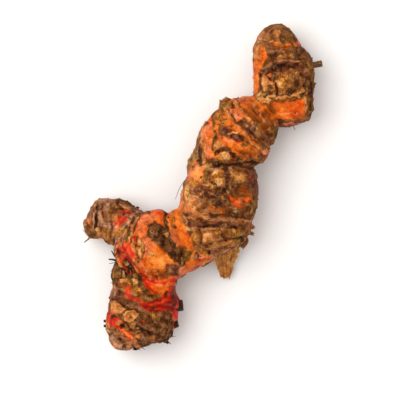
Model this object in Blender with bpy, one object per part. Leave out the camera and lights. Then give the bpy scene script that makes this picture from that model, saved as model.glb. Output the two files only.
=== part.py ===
"""A galangal rhizome, lying on a flat surface as it was lifted and washed.

The rhizome grew as one piece, so it is one solid. It is a chain of swollen joints: a crown finger,
an upper joint, a thick belly joint, a short collar and a knuckle, from which a side stub and a foot
joint branch. Each joint carries ring scars where scale leaves sat, and scars where shoots broke off.
Dry scale leaves and cut roots still hang on the skin.

The origin is on the surface it lies on, under the middle of its outline. +Z is up, and the crown
finger points to +Y. Sizes below are millimetres, and MM turns them into Blender's metres.
"""

import math
import random
from dataclasses import dataclass

import bmesh
import bpy
import numpy as np
from mathutils import Matrix, Vector, noise
from mathutils.bvhtree import BVHTree

MM = 0.001

# The skin: how finely it is wrapped, before and after it gets its relief, and how many faces it keeps.
FORM_VOXEL = 0.52
RELIEF_VOXEL = 0.38
SKIN_TRIANGLES = 9700
CREASE_SMOOTHING = 3
JOINT_SIDES = 72
JOINT_STEP = 0.8
SEARCH_STEP = 0.5
RESTING_FLAT = 0.06
RELIEF_FADE = (0.5, 2.5)

# Ring scars: the skin swells slowly towards a thin lip and drops into a groove beyond it.
SWELL_BEFORE = 2.6
LIP_WIDTH = 0.6
GROOVE_WIDTH = 0.8
GROOVE_OFFSET = 1.3
RING_WAVE = 0.5
RING_WAVE_LENGTH = 6.0
LEAN_REACH = 10.0

# Slow swelling of the whole skin, the lumps of the crust and the ragged edges of the scars.
SWELL_HEIGHT = 0.45
SWELL_LENGTH = 9.0
LUMP_HEIGHT = 0.22
LUMP_LENGTH = 2.6
RAGGED = 0.14
RAGGED_LENGTH = 2.4
WART_LENGTH = 2.3

# Dry scale leaves are flat in section and cut roots are round.
SCALE_SIDES = 8
SCALE_STEP = 1.9
SCALE_HALF_THICKNESS = 0.42
SCALE_FRAY = 0.16
ROOT_SIDES = 7
ROOT_STEP = 2.6

# Stumps of cut roots on the flanks and the underside, placed by a seeded rule.
STUMP_SEED = 11
STUMP_COUNT = 14
STUMP_RADIUS = (0.55, 1.2)
STUMP_LENGTH = (0.8, 2.2)
STUMP_FACING = (-0.92, -0.5)
STUMP_CLEARANCE = 1.6
STUMP_SPACING = 8.0
STUMP_OPEN_SPACE = 6.0
STUMP_LEAN = 0.4
STUMP_TAPER = (1.7, 1.3, 0.85)


@dataclass(frozen=True)
class Ring:
    """A leaf scar round a joint: its place along the joint, its lip's height and its tilt."""

    along: float
    height: float
    lean: float = 0.0


@dataclass(frozen=True)
class Joint:
    """A swollen joint: cross-sections (x, y, z, half width, half height) and how long its ends round off."""

    name: str
    sections: tuple
    round_in: float
    round_out: float
    rings: tuple = ()


@dataclass(frozen=True)
class Scar:
    """A mark on the upper skin: its middle, half sizes and turn seen from above, and its relief.

    A positive depth sinks it and a negative one raises it. The edge is the share of its radius over
    which it falls away, and warts is the height of the lumps in it.
    """

    x: float
    y: float
    across: float
    along: float
    turn: float
    depth: float
    rim: float
    edge: float = 0.6
    warts: float = 0.0


@dataclass(frozen=True)
class Scale:
    """A dry scale leaf: (x, y, z, half width) along it, its roll in degrees and how far its edges curl."""

    name: str
    sections: tuple
    roll: float = 0.0
    curl: float = 0.0


@dataclass(frozen=True)
class Root:
    """A root cut off short: (x, y, z, radius) along it."""

    name: str
    sections: tuple


JOINTS = (
    Joint(
        "crown_finger",
        (
            (33.4, 68.2, 13.2, 2.6, 3.4),
            (32.7, 65.6, 13.1, 6.1, 6.6),
            (32.1, 63.0, 13.0, 8.3, 8.2),
            (31.7, 60.2, 12.7, 9.6, 9.2),
            (31.6, 57.0, 12.4, 10.6, 10.2),
            (32.6, 52.6, 12.0, 11.7, 11.3),
            (34.2, 48.6, 11.8, 12.9, 12.0),
            (34.5, 43.6, 11.8, 12.8, 12.1),
            (34.3, 38.0, 11.7, 12.2, 11.8),
            (35.4, 31.8, 11.6, 10.9, 10.6),
            (36.0, 25.1, 11.6, 8.6, 8.6),
        ),
        1.6,
        4.0,
        (
            Ring(7.4, 0.25, 0.05),
            Ring(11.4, 0.45, 0.1),
            Ring(16.2, 0.65, -0.12),
            Ring(38.6, 0.5, -0.05),
        ),
    ),
    Joint(
        "upper_joint",
        (
            (29.0, 33.8, 13.2, 6.8, 7.6),
            (26.2, 31.3, 13.8, 8.5, 9.4),
            (22.6, 28.3, 14.6, 11.5, 11.2),
            (18.2, 24.8, 15.2, 13.9, 12.4),
            (13.8, 19.1, 15.2, 14.7, 12.9),
            (11.2, 13.2, 15.0, 13.7, 12.4),
            (10.6, 7.5, 14.8, 11.6, 11.4),
        ),
        3.0,
        3.0,
        (
            Ring(8.4, 0.75, 0.1),
            Ring(14.2, 0.85, -0.06),
            Ring(25.4, 0.5, 0.1),
        ),
    ),
    Joint(
        "belly_joint",
        (
            (10.5, 12.0, 14.6, 12.0, 11.2),
            (9.3, 5.6, 14.4, 14.2, 13.4),
            (8.2, -0.4, 14.3, 15.7, 14.4),
            (6.8, -6.0, 14.3, 16.2, 14.5),
            (5.9, -12.2, 14.6, 15.2, 14.0),
            (6.2, -18.1, 15.2, 14.1, 13.0),
            (6.9, -23.5, 15.6, 11.8, 11.2),
            (7.9, -28.0, 15.6, 7.8, 8.0),
        ),
        4.0,
        3.4,
        (
            Ring(5.6, 0.6, 0.0),
            Ring(16.8, 0.45, 0.1),
            Ring(24.4, 1.2, 0.06),
            Ring(34.8, 1.0, -0.08),
        ),
    ),
    Joint(
        "collar",
        (
            (5.0, -18.4, 14.6, 9.8, 9.5),
            (-1.0, -20.6, 14.8, 12.2, 11.0),
            (-6.0, -22.0, 15.0, 13.2, 11.4),
            (-10.6, -23.2, 15.2, 13.4, 11.4),
            (-15.8, -24.0, 15.2, 11.0, 10.6),
        ),
        3.0,
        3.0,
        (Ring(8.6, 0.3),),
    ),
    Joint(
        "knuckle",
        (
            (-9.4, -22.4, 15.6, 12.4, 11.4),
            (-13.4, -23.6, 16.0, 15.0, 13.2),
            (-18.0, -25.0, 16.2, 15.4, 13.9),
            (-22.9, -26.8, 16.0, 14.6, 13.4),
            (-27.5, -29.0, 15.2, 12.4, 11.6),
            (-31.0, -31.0, 14.0, 9.4, 9.2),
            (-33.4, -32.4, 12.8, 6.6, 6.8),
        ),
        3.0,
        3.4,
        (
            Ring(13.4, 0.7, 0.0),
            Ring(16.2, 0.75, 0.03),
            Ring(18.9, 0.75, 0.0),
            Ring(21.5, 0.75, -0.03),
            Ring(24.1, 0.65, 0.0),
        ),
    ),
    Joint(
        "side_stub",
        (
            (-22.0, -20.8, 14.0, 8.0, 8.4),
            (-30.0, -17.8, 11.4, 8.6, 8.8),
            (-35.9, -14.9, 9.6, 9.4, 9.3),
            (-40.9, -14.1, 9.1, 8.9, 9.25),
            (-43.3, -14.4, 9.1, 8.2, 8.5),
            (-45.0, -14.9, 9.2, 7.1, 7.3),
            (-47.4, -14.9, 9.3, 6.2, 6.4),
            (-49.8, -14.6, 9.5, 3.2, 3.6),
        ),
        3.0,
        0.8,
        (
            Ring(9.4, 0.55, 0.12),
            Ring(12.2, 0.5, 0.06),
            Ring(17.6, 0.6, 0.0),
            Ring(23.2, 1.0, 0.0),
        ),
    ),
    Joint(
        "foot_neck",
        (
            (-18.4, -30.0, 16.6, 6.6, 6.6),
            (-18.2, -38.0, 16.2, 7.2, 7.2),
            (-18.4, -43.0, 15.8, 6.8, 7.2),
            (-18.6, -45.8, 15.4, 5.4, 6.4),
        ),
        2.0,
        2.0,
        (Ring(10.2, 0.6), Ring(14.0, 0.5)),
    ),
    Joint(
        "foot_joint",
        (
            (-19.4, -33.6, 13.0, 9.6, 9.6),
            (-22.4, -39.7, 12.4, 12.1, 11.4),
            (-23.8, -44.1, 12.2, 14.3, 12.2),
            (-24.7, -49.4, 12.1, 14.5, 12.4),
            (-25.6, -54.8, 12.0, 14.3, 12.3),
            (-27.0, -59.0, 11.8, 13.9, 11.8),
            (-27.9, -62.2, 11.7, 12.7, 11.0),
            (-28.1, -64.6, 11.6, 11.2, 9.9),
            (-27.9, -66.5, 11.6, 8.9, 8.0),
            (-27.6, -68.0, 11.6, 6.2, 5.8),
        ),
        3.0,
        1.4,
        (
            Ring(13.4, 0.85, 0.22),
            Ring(18.6, 0.65, 0.2),
            Ring(24.4, 0.7, 0.1),
            Ring(30.2, 0.8, 0.0),
        ),
    ),
)

SCARS = (
    # The crown finger's broad shoot scar, the corky lumps in it and the bark left at its right.
    Scar(33.9, 43.0, 9.0, 7.5, 0.1, 1.7, 0.5, 0.4, 0.3),
    Scar(35.0, 43.6, 3.6, 2.8, 0.2, -0.9, 0.0, 0.7, 0.3),
    Scar(27.2, 38.4, 3.0, 3.4, 0.4, -1.0, 0.0, 0.6, 0.3),
    Scar(28.6, 47.0, 1.3, 1.2, 0.0, -0.8, 0.0, 0.9, 0.0),
    Scar(43.4, 38.6, 2.4, 11.0, 0.05, -0.7, 0.0, 0.25, 0.25),
    # Corky shoot scars on the belly joint, and the pale knob above them.
    Scar(6.4, 3.8, 2.6, 3.9, 0.1, -0.9, 0.0, 0.45, 0.3),
    Scar(14.8, 3.8, 3.2, 2.3, 0.0, -0.9, 0.0, 0.45, 0.3),
    Scar(-6.1, -3.6, 1.5, 3.0, 0.2, -0.5, 0.0, 0.5, 0.2),
    Scar(10.3, 13.2, 2.2, 1.9, 0.3, -1.1, 0.0, 0.6, 0.2),
    Scar(6.6, -7.0, 5.6, 4.6, 0.2, -0.4, 0.0, 0.35, 0.3),
    # The knuckle's slit-shaped leaf scar and its warty patch.
    Scar(-26.2, -24.8, 1.1, 4.2, 0.1, 0.8, 0.45, 0.5, 0.0),
    Scar(-18.0, -20.0, 4.4, 4.6, 0.5, -0.7, 0.0, 0.35, 0.3),
    # The foot joint's flaking skin and its torn end.
    Scar(-36.4, -50.2, 2.4, 2.9, 0.5, -0.55, 0.0, 0.2, 0.0),
    Scar(-29.6, -54.6, 3.2, 2.7, -0.3, -0.6, 0.0, 0.2, 0.1),
    Scar(-19.8, -54.4, 2.3, 2.2, 0.2, -0.4, 0.0, 0.25, 0.1),
    Scar(-20.4, -60.6, 6.4, 4.6, 0.3, -0.4, 0.0, 0.3, 0.3),
    Scar(-29.2, -67.6, 0.9, 2.6, 0.0, 1.2, 0.0, 0.7, 0.0),
    # The side stub's cut face.
    Scar(-47.6, -13.8, 2.0, 4.4, 0.0, 0.9, 0.4, 0.25, 0.2),
    # The hollow between the side stub and the foot.
    Scar(-31.6, -33.0, 1.9, 4.0, -0.2, 1.0, 0.0, 0.6, 0.0),
)

SCALES = (
    Scale(
        "belly_scale",
        (
            (11.2, -22.0, 11.0, 4.0),
            (10.4, -26.0, 9.4, 5.2),
            (9.9, -29.6, 8.0, 4.8),
            (9.8, -32.6, 6.5, 3.8),
            (9.9, -35.6, 5.1, 2.9),
            (9.8, -38.3, 4.0, 2.1),
        ),
        -8.0,
        0.5,
    ),
    Scale(
        "upper_sheath",
        (
            (1.9, 27.4, 17.6, 1.4),
            (-0.2, 21.8, 17.2, 2.4),
            (-0.8, 16.4, 16.6, 3.2),
            (-2.3, 11.6, 16.0, 3.7),
            (-3.5, 8.2, 15.4, 3.5),
            (-4.2, 5.0, 14.8, 2.1),
        ),
        42.0,
        0.5,
    ),
    Scale(
        "upper_scrap",
        (
            (12.6, 30.6, 17.4, 2.6),
            (10.4, 33.4, 18.2, 3.2),
            (9.2, 35.3, 18.8, 2.8),
            (8.5, 36.9, 19.4, 1.5),
        ),
        10.0,
        0.3,
    ),
    Scale(
        "foot_bract",
        (
            (-32.6, -43.4, 15.2, 2.4),
            (-33.4, -39.5, 16.4, 3.3),
            (-34.0, -35.7, 17.4, 3.3),
            (-33.9, -31.9, 18.2, 2.5),
            (-33.4, -28.4, 18.8, 1.3),
        ),
        -24.0,
        -0.9,
    ),
    Scale(
        "cup_scrap_high",
        (
            (18.0, -15.2, 14.4, 1.3),
            (20.2, -16.4, 14.2, 1.2),
            (21.6, -17.2, 13.8, 0.8),
        ),
        20.0,
    ),
    Scale(
        "cup_scrap_low",
        (
            (18.0, -18.4, 13.6, 1.1),
            (20.0, -19.2, 13.2, 0.9),
            (21.6, -19.8, 12.8, 0.7),
        ),
        -15.0,
    ),
    Scale(
        "cup_scrap_hanging",
        (
            (16.0, -18.6, 12.4, 1.4),
            (17.8, -22.4, 11.0, 1.8),
            (16.6, -25.4, 9.8, 1.1),
        ),
        30.0,
    ),
    Scale(
        "collar_scrap",
        (
            (0.4, -26.8, 11.4, 1.8),
            (0.3, -30.6, 9.2, 2.2),
            (0.5, -32.6, 8.2, 1.6),
        ),
        0.0,
        0.3,
    ),
)

ROOTS = (
    Root("crown_root", ((42.0, 50.7, 12.4, 1.35), (46.4, 51.2, 13.0, 1.25), (50.15, 51.8, 13.5, 1.4))),
    Root("foot_root_high", ((-12.8, -49.6, 12.8, 2.0), (-10.3, -49.4, 13.0, 1.9), (-8.9, -48.8, 13.2, 1.4))),
    Root("foot_root_low", ((-15.0, -56.8, 11.8, 2.2), (-12.2, -56.4, 12.0, 2.1), (-10.9, -55.9, 12.2, 1.5))),
    Root("foot_root_end", ((-18.6, -63.0, 10.4, 1.5), (-15.8, -64.7, 10.2, 0.95), (-14.3, -65.8, 10.0, 0.5))),
    Root("foot_nub_high", ((-38.4, -56.7, 12.2, 0.75), (-41.5, -56.3, 12.6, 0.6))),
    Root("foot_nub_low", ((-38.4, -58.4, 12.0, 0.75), (-41.5, -58.4, 12.2, 0.55))),
    Root("collar_knob", ((-2.9, -28.0, 21.0, 1.3), (-3.2, -28.8, 24.4, 1.2))),
)


def smooth_path(sections, step):
    """Cross-sections at even steps on a smooth curve through the given ones, and their distance along it."""
    points = np.array(sections, float)
    ends = np.vstack([2 * points[0] - points[1], points, 2 * points[-1] - points[-2]])
    fine = []
    for i in range(1, len(ends) - 2):
        a, b, c, d = ends[i - 1 : i + 3]
        for t in np.linspace(0, 1, 40, endpoint=False):
            linear = (c - a) * t
            square = (2 * a - 5 * b + 4 * c - d) * t**2
            cube = (3 * b - a - 3 * c + d) * t**3
            fine.append(b + 0.5 * (linear + square + cube))
    fine = np.array(fine + [points[-1]])
    gone = np.concatenate([[0], np.cumsum(np.linalg.norm(np.diff(fine[:, :3], axis=0), axis=1))])
    even = np.linspace(0, gone[-1], max(2, round(gone[-1] / step) + 1))
    return even, np.stack([np.interp(even, gone, fine[:, k]) for k in range(fine.shape[1])], axis=1)


def directions(centres):
    """At each point of a path: the way along it, the level way across it and the way up from both."""
    along = np.gradient(centres, axis=0)
    along /= np.linalg.norm(along, axis=1)[:, None]
    # A path that runs straight up has no level way across, so it leans a little.
    across = np.cross(along, (0.02, 0.01, 1.0))
    across /= np.linalg.norm(across, axis=1)[:, None]
    return along, across, np.cross(across, along)


def rounding(gone, joint):
    """How far each cross-section has swelled to its full size: the ends round off like half an ellipse."""
    from_start = np.clip(gone / joint.round_in, 0, 1)
    from_end = np.clip((gone[-1] - gone) / joint.round_out, 0, 1)
    return np.sqrt(1 - (1 - from_start) ** 2) * np.sqrt(1 - (1 - from_end) ** 2)


def skin_loops(mesh, loops):
    """Joins rings of points into a closed tube, with a flat cap on each end."""
    rings = [[mesh.verts.new(MM * point) for point in loop] for loop in loops]
    count = len(rings[0])
    for near, far in zip(rings, rings[1:]):
        for i in range(count):
            j = (i + 1) % count
            mesh.faces.new((near[i], near[j], far[j], far[i]))
    for ring in (rings[0], rings[-1]):
        mesh.faces.new(ring)


def loft_joint(mesh, joint):
    """Adds a joint to the mesh as a closed loft of its cross-sections."""
    gone, path = smooth_path(joint.sections, JOINT_STEP)
    # The ends curve quickly, so they get closer cross-sections.
    near_ends = np.array([0.004, 0.03, 0.1])
    places = np.concatenate([gone[1:-1], joint.round_in * near_ends, gone[-1] - joint.round_out * near_ends])
    places = np.unique(places)
    _, across, up = directions(path[:, :3])
    swelled = rounding(np.concatenate([[0], places, gone[-1:]]), joint)[1:-1]
    angles = np.linspace(0, 2 * math.pi, JOINT_SIDES, endpoint=False)[:, None]
    loops = []
    for place, full in zip(places, swelled):
        centre, side, rise = (
            np.array([np.interp(place, gone, v[:, k]) for k in range(3)]) for v in (path[:, :3], across, up)
        )
        wide, tall = (np.interp(place, gone, path[:, k]) * full for k in (3, 4))
        loops.append(centre + wide * np.cos(angles) * side + tall * np.sin(angles) * rise)
    skin_loops(mesh, loops)


def new_object(name, mesh, collection, material):
    """Puts a bmesh into a collection as an object of one material."""
    data = bpy.data.meshes.new(name)
    bmesh.ops.recalc_face_normals(mesh, faces=mesh.faces)
    mesh.to_mesh(data)
    mesh.free()
    data.materials.append(material)
    made = bpy.data.objects.new(name, data)
    collection.objects.link(made)
    return made


def new_material(name, colour, roughness):
    """A matt material of one colour."""
    made = bpy.data.materials.new(name)
    made.use_nodes = True
    shader = made.node_tree.nodes["Principled BSDF"]
    shader.inputs["Base Color"].default_value = (*colour, 1.0)
    shader.inputs["Roughness"].default_value = roughness
    shader.inputs["Metallic"].default_value = 0.0
    return made


def apply_modifiers(obj):
    """Makes the mesh that the object's modifiers give its own."""
    graph = bpy.context.evaluated_depsgraph_get()
    data = bpy.data.meshes.new_from_object(obj.evaluated_get(graph))
    obj.modifiers.clear()
    obj.data = data


def points_of(obj):
    """The object's points as an array, in millimetres."""
    points = np.empty(len(obj.data.vertices) * 3, np.float32)
    obj.data.vertices.foreach_get("co", points)
    return points.reshape(-1, 3).astype(float) / MM


def normals_of(obj):
    """The direction in which the skin faces at each of the object's points."""
    normals = np.empty(len(obj.data.vertices) * 3, np.float32)
    obj.data.vertices.foreach_get("normal", normals)
    return normals.reshape(-1, 3).astype(float)


def put_points(obj, points):
    """Moves the object's points, given in millimetres."""
    obj.data.vertices.foreach_set("co", (points * MM).astype(np.float32).ravel())
    obj.data.update()


def field(points, length, seed):
    """Smooth noise of about -1 to 1 at each point, whose lumps are about as long as asked."""
    shift = Vector((seed * 17.3, seed * 5.9, seed * 11.1))
    return np.array([noise.noise(Vector(p / length) + shift) for p in points])


def joint_places(points):
    """For each joint: how far each point lies off its surface, its distance along and its angle round it."""
    for joint in JOINTS:
        gone, path = smooth_path(joint.sections, SEARCH_STEP)
        along, across, up = directions(path[:, :3])
        nearest = np.argmin(((points[:, None, :] - path[None, :, :3]) ** 2).sum(axis=2), axis=1)
        away = points - path[nearest, :3]
        full = np.maximum(rounding(gone, joint)[nearest], 0.25)
        side = (away * across[nearest]).sum(axis=1) / (path[nearest, 3] * full)
        rise = (away * up[nearest]).sum(axis=1) / (path[nearest, 4] * full)
        ahead = (away * along[nearest]).sum(axis=1)
        off = np.abs(np.hypot(side, rise) - 1) + np.abs(ahead) / path[nearest, 3]
        yield joint, off, gone[nearest] + ahead, np.arctan2(rise, side)


def ring_relief(points):
    """Height of the leaf scars' lips and grooves at each point of the skin."""
    best = np.full(len(points), np.inf)
    relief = np.zeros(len(points))
    wave = RING_WAVE * field(points, RING_WAVE_LENGTH, 3)
    # A lip is worn low in places.
    worn = 0.85 + 0.4 * field(points, RING_WAVE_LENGTH, 4)
    for joint, off, gone, angle in joint_places(points):
        here = np.zeros(len(points))
        for ring in joint.rings:
            beyond = gone - ring.along + ring.lean * LEAN_REACH * np.cos(angle) + wave
            swell = np.exp(np.minimum(beyond, 0) / SWELL_BEFORE)
            drop = np.exp(-((np.maximum(beyond, 0) / LIP_WIDTH) ** 2))
            groove = np.exp(-(((beyond - GROOVE_OFFSET) / GROOVE_WIDTH) ** 2))
            here += ring.height * worn * (swell * drop - 0.6 * groove)
        mine = off < best
        relief[mine] = here[mine]
        best[mine] = off[mine]
    return relief


def scar_relief(points, normals):
    """Height of the scars at each point: a sunken or raised floor, a rim and warts."""
    relief = np.zeros(len(points))
    ragged = RAGGED * field(points, RAGGED_LENGTH, 5)
    warts = np.abs(field(points, WART_LENGTH, 6))
    upper = np.clip(normals[:, 2] * 3 + 0.8, 0, 1)
    for scar in SCARS:
        c, s = math.cos(scar.turn), math.sin(scar.turn)
        x, y = points[:, 0] - scar.x, points[:, 1] - scar.y
        reach = np.hypot((c * x + s * y) / scar.across, (c * y - s * x) / scar.along) + ragged
        share = np.clip((1.0 + 0.5 * scar.edge - reach) / scar.edge, 0, 1)
        floor = share * share * (3 - 2 * share)
        rim = np.exp(-(((reach - 1.0 - 0.6 * scar.edge) / 0.14) ** 2))
        relief += upper * (scar.rim * rim - scar.depth * floor + scar.warts * floor * (2 * warts - 0.3))
    return relief


def crust_relief(points):
    """Slow swelling of the skin with smaller lumps on it."""
    return SWELL_HEIGHT * field(points, SWELL_LENGTH, 1) + LUMP_HEIGHT * field(points, LUMP_LENGTH, 2)


def settle(obj):
    """Flattens the lowest bulges onto the surface that the rhizome lies on."""
    points = points_of(obj)
    points[points[:, 2] < RESTING_FLAT, 2] = 0.0
    put_points(obj, points)


def wrap_in_skin(obj, voxel):
    """Wraps what the object holds in one closed skin of even squares of the given size."""
    wrap = obj.modifiers.new("wrap", "REMESH")
    wrap.mode = "VOXEL"
    wrap.voxel_size = voxel * MM
    apply_modifiers(obj)


def make_skin(collection, material):
    """The rhizome's body: its joints wrapped in one skin, which gets its relief and keeps few faces."""
    mesh = bmesh.new()
    for joint in JOINTS:
        loft_joint(mesh, joint)
    body = new_object("galangal_rhizome", mesh, collection, material)
    wrap_in_skin(body, FORM_VOXEL)
    ease = body.modifiers.new("ease", "SMOOTH")
    ease.iterations = CREASE_SMOOTHING
    apply_modifiers(body)
    points, normals = points_of(body), normals_of(body)
    relief = ring_relief(points) + scar_relief(points, normals) + crust_relief(points)
    # The resting spots stay smooth, so that the rhizome lies still.
    low, high = RELIEF_FADE
    relief *= np.clip((points[:, 2] - low) / (high - low), 0, 1)
    put_points(body, points + normals * relief[:, None])
    # Relief in a deep crease can fold over, and a second wrap closes the fold.
    wrap_in_skin(body, RELIEF_VOXEL)
    settle(body)
    thin = body.modifiers.new("thin", "DECIMATE")
    thin.ratio = SKIN_TRIANGLES / (2 * len(body.data.polygons))
    thin.use_collapse_triangulate = True
    apply_modifiers(body)
    settle(body)
    return body


def make_scale(scale, seed, collection, material):
    """A dry scale leaf: a flat, curled blade with frayed edges, its base inside the body."""
    draw = random.Random(seed)
    _, path = smooth_path(scale.sections, SCALE_STEP)
    along, across, up = directions(path[:, :3])
    angles = [2 * math.pi * (i + 0.5) / SCALE_SIDES for i in range(SCALE_SIDES)]
    loops = []
    for centre, ahead, side, rise in zip(path, along, across, up):
        turn = np.array(Matrix.Rotation(math.radians(scale.roll), 3, Vector(ahead)))
        side, rise = turn @ side, turn @ rise
        loop = []
        for angle in angles:
            # The section is a flat lozenge with blunt edges, and its edges curl down.
            u = math.copysign(abs(math.cos(angle)) ** 0.7, math.cos(angle))
            v = math.copysign(abs(math.sin(angle)) ** 0.5, math.sin(angle))
            fray = 1 + SCALE_FRAY * draw.uniform(-1, 1) * abs(u) ** 3
            point = centre[:3] + u * centre[3] * fray * side
            loop.append(point + (v * SCALE_HALF_THICKNESS - scale.curl * u * u) * rise)
        loops.append(loop)
    # The end is torn unevenly.
    loops[-1] = [point + draw.uniform(-0.5, 0.5) * along[-1] for point in loops[-1]]
    mesh = bmesh.new()
    skin_loops(mesh, loops)
    bmesh.ops.triangulate(mesh, faces=mesh.faces)
    return new_object(scale.name, mesh, collection, material)


def make_root(root, collection, material):
    """A cut root: a round taper with a flat end, its base inside the body."""
    _, path = smooth_path(root.sections, ROOT_STEP)
    _, across, up = directions(path[:, :3])
    angles = np.linspace(0, 2 * math.pi, ROOT_SIDES, endpoint=False)[:, None]
    loops = [
        centre[:3] + centre[3] * (np.cos(angles) * side + np.sin(angles) * rise)
        for centre, side, rise in zip(path, across, up)
    ]
    mesh = bmesh.new()
    skin_loops(mesh, loops)
    return new_object(root.name, mesh, collection, material)


def stump_roots(body):
    """Stumps of cut roots, at seeded places where the skin faces outwards or down, clear of the floor."""
    draw = random.Random(STUMP_SEED)
    points, normals = points_of(body), normals_of(body)
    tree = BVHTree.FromPolygons(points.tolist(), [face.vertices for face in body.data.polygons])
    found = []
    while len(found) < STUMP_COUNT:
        i = draw.randrange(len(points))
        foot, out = points[i], normals[i]
        radius, length = draw.uniform(*STUMP_RADIUS), draw.uniform(*STUMP_LENGTH)
        tip = foot + out * length
        lowest, highest = STUMP_FACING
        if not lowest < out[2] < highest or tip[2] - radius < STUMP_CLEARANCE:
            continue
        if any(np.linalg.norm(foot - other[0]) < STUMP_SPACING for other in found):
            continue
        # A stump needs open space in front of it.
        if tree.ray_cast(Vector(foot + out * 0.5), Vector(out), STUMP_OPEN_SPACE)[0] is not None:
            continue
        found.append((foot, tip, radius))
    for number, (foot, tip, radius) in enumerate(found):
        # The base spreads into the skin, and the cut end leans a little.
        base = foot - (tip - foot) / np.linalg.norm(tip - foot)
        lean = [draw.uniform(-STUMP_LEAN, STUMP_LEAN) for _ in "xy"]
        tip = tip + np.array([*lean, 0.0])
        spread, waist, end = (radius * share for share in STUMP_TAPER)
        yield Root(f"stump_{number}", ((*base, spread), (*foot, waist), (*tip, end)))


def join_growths(body, growths):
    """Joins the scale leaves and the roots to the body by one union, and removes their collection."""
    join = body.modifiers.new("join_growths", "BOOLEAN")
    join.operation = "UNION"
    join.solver = "EXACT"
    join.material_mode = "TRANSFER"
    join.operand_type = "COLLECTION"
    join.collection = growths
    apply_modifiers(body)
    for growth in list(growths.objects):
        bpy.data.objects.remove(growth)
    bpy.data.collections.remove(growths)


def main():
    for old in list(bpy.data.objects):
        bpy.data.objects.remove(old)
    skin = new_material("rhizome_skin", (0.55, 0.2, 0.06), 0.6)
    dry_leaf = new_material("dry_scale_leaf", (0.32, 0.17, 0.06), 0.75)
    root = new_material("cut_root", (0.1, 0.07, 0.045), 0.85)
    body = make_skin(bpy.context.scene.collection, skin)
    growths = bpy.data.collections.new("growths")
    bpy.context.scene.collection.children.link(growths)
    for seed, scale in enumerate(SCALES):
        make_scale(scale, seed, growths, dry_leaf)
    for cut in (*ROOTS, *stump_roots(body)):
        make_root(cut, growths, root)
    join_growths(body, growths)
    body.data.shade_smooth()
    body.data.set_sharp_from_angle(angle=math.radians(50))


main()
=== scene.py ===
"""A galangal rhizome on a white table, seen from straight above in soft light.

The skin repeats the joints, ring scars and shoot scars of the solid at a finer grain. Its finishes
are laid out on a plan of the rhizome and reach the shader as shares at each point of the skin. Dry
scale leaves, cut roots, root hairs, peeling flakes and soil crumbs are pieces of their own.

Sizes are millimetres unless a name says otherwise, and MM turns them into Blender's metres.
"""

import logging
import math
import random
from dataclasses import dataclass
from enum import Enum
from typing import Iterator, Sequence, Union

import bmesh
import bpy
import numpy as np
from mathutils import Matrix, Vector, noise
from mathutils.bvhtree import BVHTree


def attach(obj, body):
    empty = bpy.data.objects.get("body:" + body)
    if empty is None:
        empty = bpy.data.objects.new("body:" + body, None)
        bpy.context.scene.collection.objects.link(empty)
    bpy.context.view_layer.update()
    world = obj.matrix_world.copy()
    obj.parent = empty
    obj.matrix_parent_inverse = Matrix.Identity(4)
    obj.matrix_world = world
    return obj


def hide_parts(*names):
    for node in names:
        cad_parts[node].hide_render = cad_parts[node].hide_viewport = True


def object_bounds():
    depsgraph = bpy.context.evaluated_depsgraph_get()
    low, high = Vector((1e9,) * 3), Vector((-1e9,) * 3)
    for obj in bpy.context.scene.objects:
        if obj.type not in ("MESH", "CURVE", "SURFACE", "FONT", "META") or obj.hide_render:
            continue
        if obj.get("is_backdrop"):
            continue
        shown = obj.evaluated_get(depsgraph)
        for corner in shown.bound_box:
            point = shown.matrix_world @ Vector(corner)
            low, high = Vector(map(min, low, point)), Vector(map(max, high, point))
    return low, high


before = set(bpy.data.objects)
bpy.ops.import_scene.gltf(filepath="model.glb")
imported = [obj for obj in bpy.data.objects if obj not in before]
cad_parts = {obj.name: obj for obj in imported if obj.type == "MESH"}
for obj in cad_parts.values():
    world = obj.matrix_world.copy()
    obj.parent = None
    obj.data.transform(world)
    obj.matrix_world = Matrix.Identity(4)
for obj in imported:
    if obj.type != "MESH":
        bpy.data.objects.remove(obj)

LOG = logging.getLogger("galangal")

MM = 0.001
CAD_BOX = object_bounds()
NODE = "galangal_rhizome"
BODY = "root"

Array = np.ndarray
Material = bpy.types.Material
Mesh = bmesh.types.BMesh
Piece = bpy.types.Object
Colour = tuple[float, float, float]
Socket = bpy.types.NodeSocket
Value = Union[float, Colour, Socket]
Inputs = dict[Union[int, str], Value]


# Shared shape tools

NOISE_SHIFT = (17.3, 5.9, 11.1)
CURVE_SAMPLES = 40


def field(points: Array, length: float, seed: int) -> Array:
    """Smooth noise of about -1 to 1 at each point, in lumps of this length. The seed picks its pattern."""
    places = points / length + seed * np.array(NOISE_SHIFT)
    return np.array([noise.noise(place) for place in places.tolist()])


def field_at(x: float, y: float, z: float, length: float, seed: int) -> float:
    """The same smooth noise at one place."""
    return float(field(np.array([[x, y, z]]), length, seed)[0])


def smooth_step(values: Array, low: float, high: float) -> Array:
    """Rises smoothly from 0 at the low value to 1 at the high one."""
    share = np.clip((values - low) / (high - low), 0, 1)
    return share * share * (3 - 2 * share)


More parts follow.
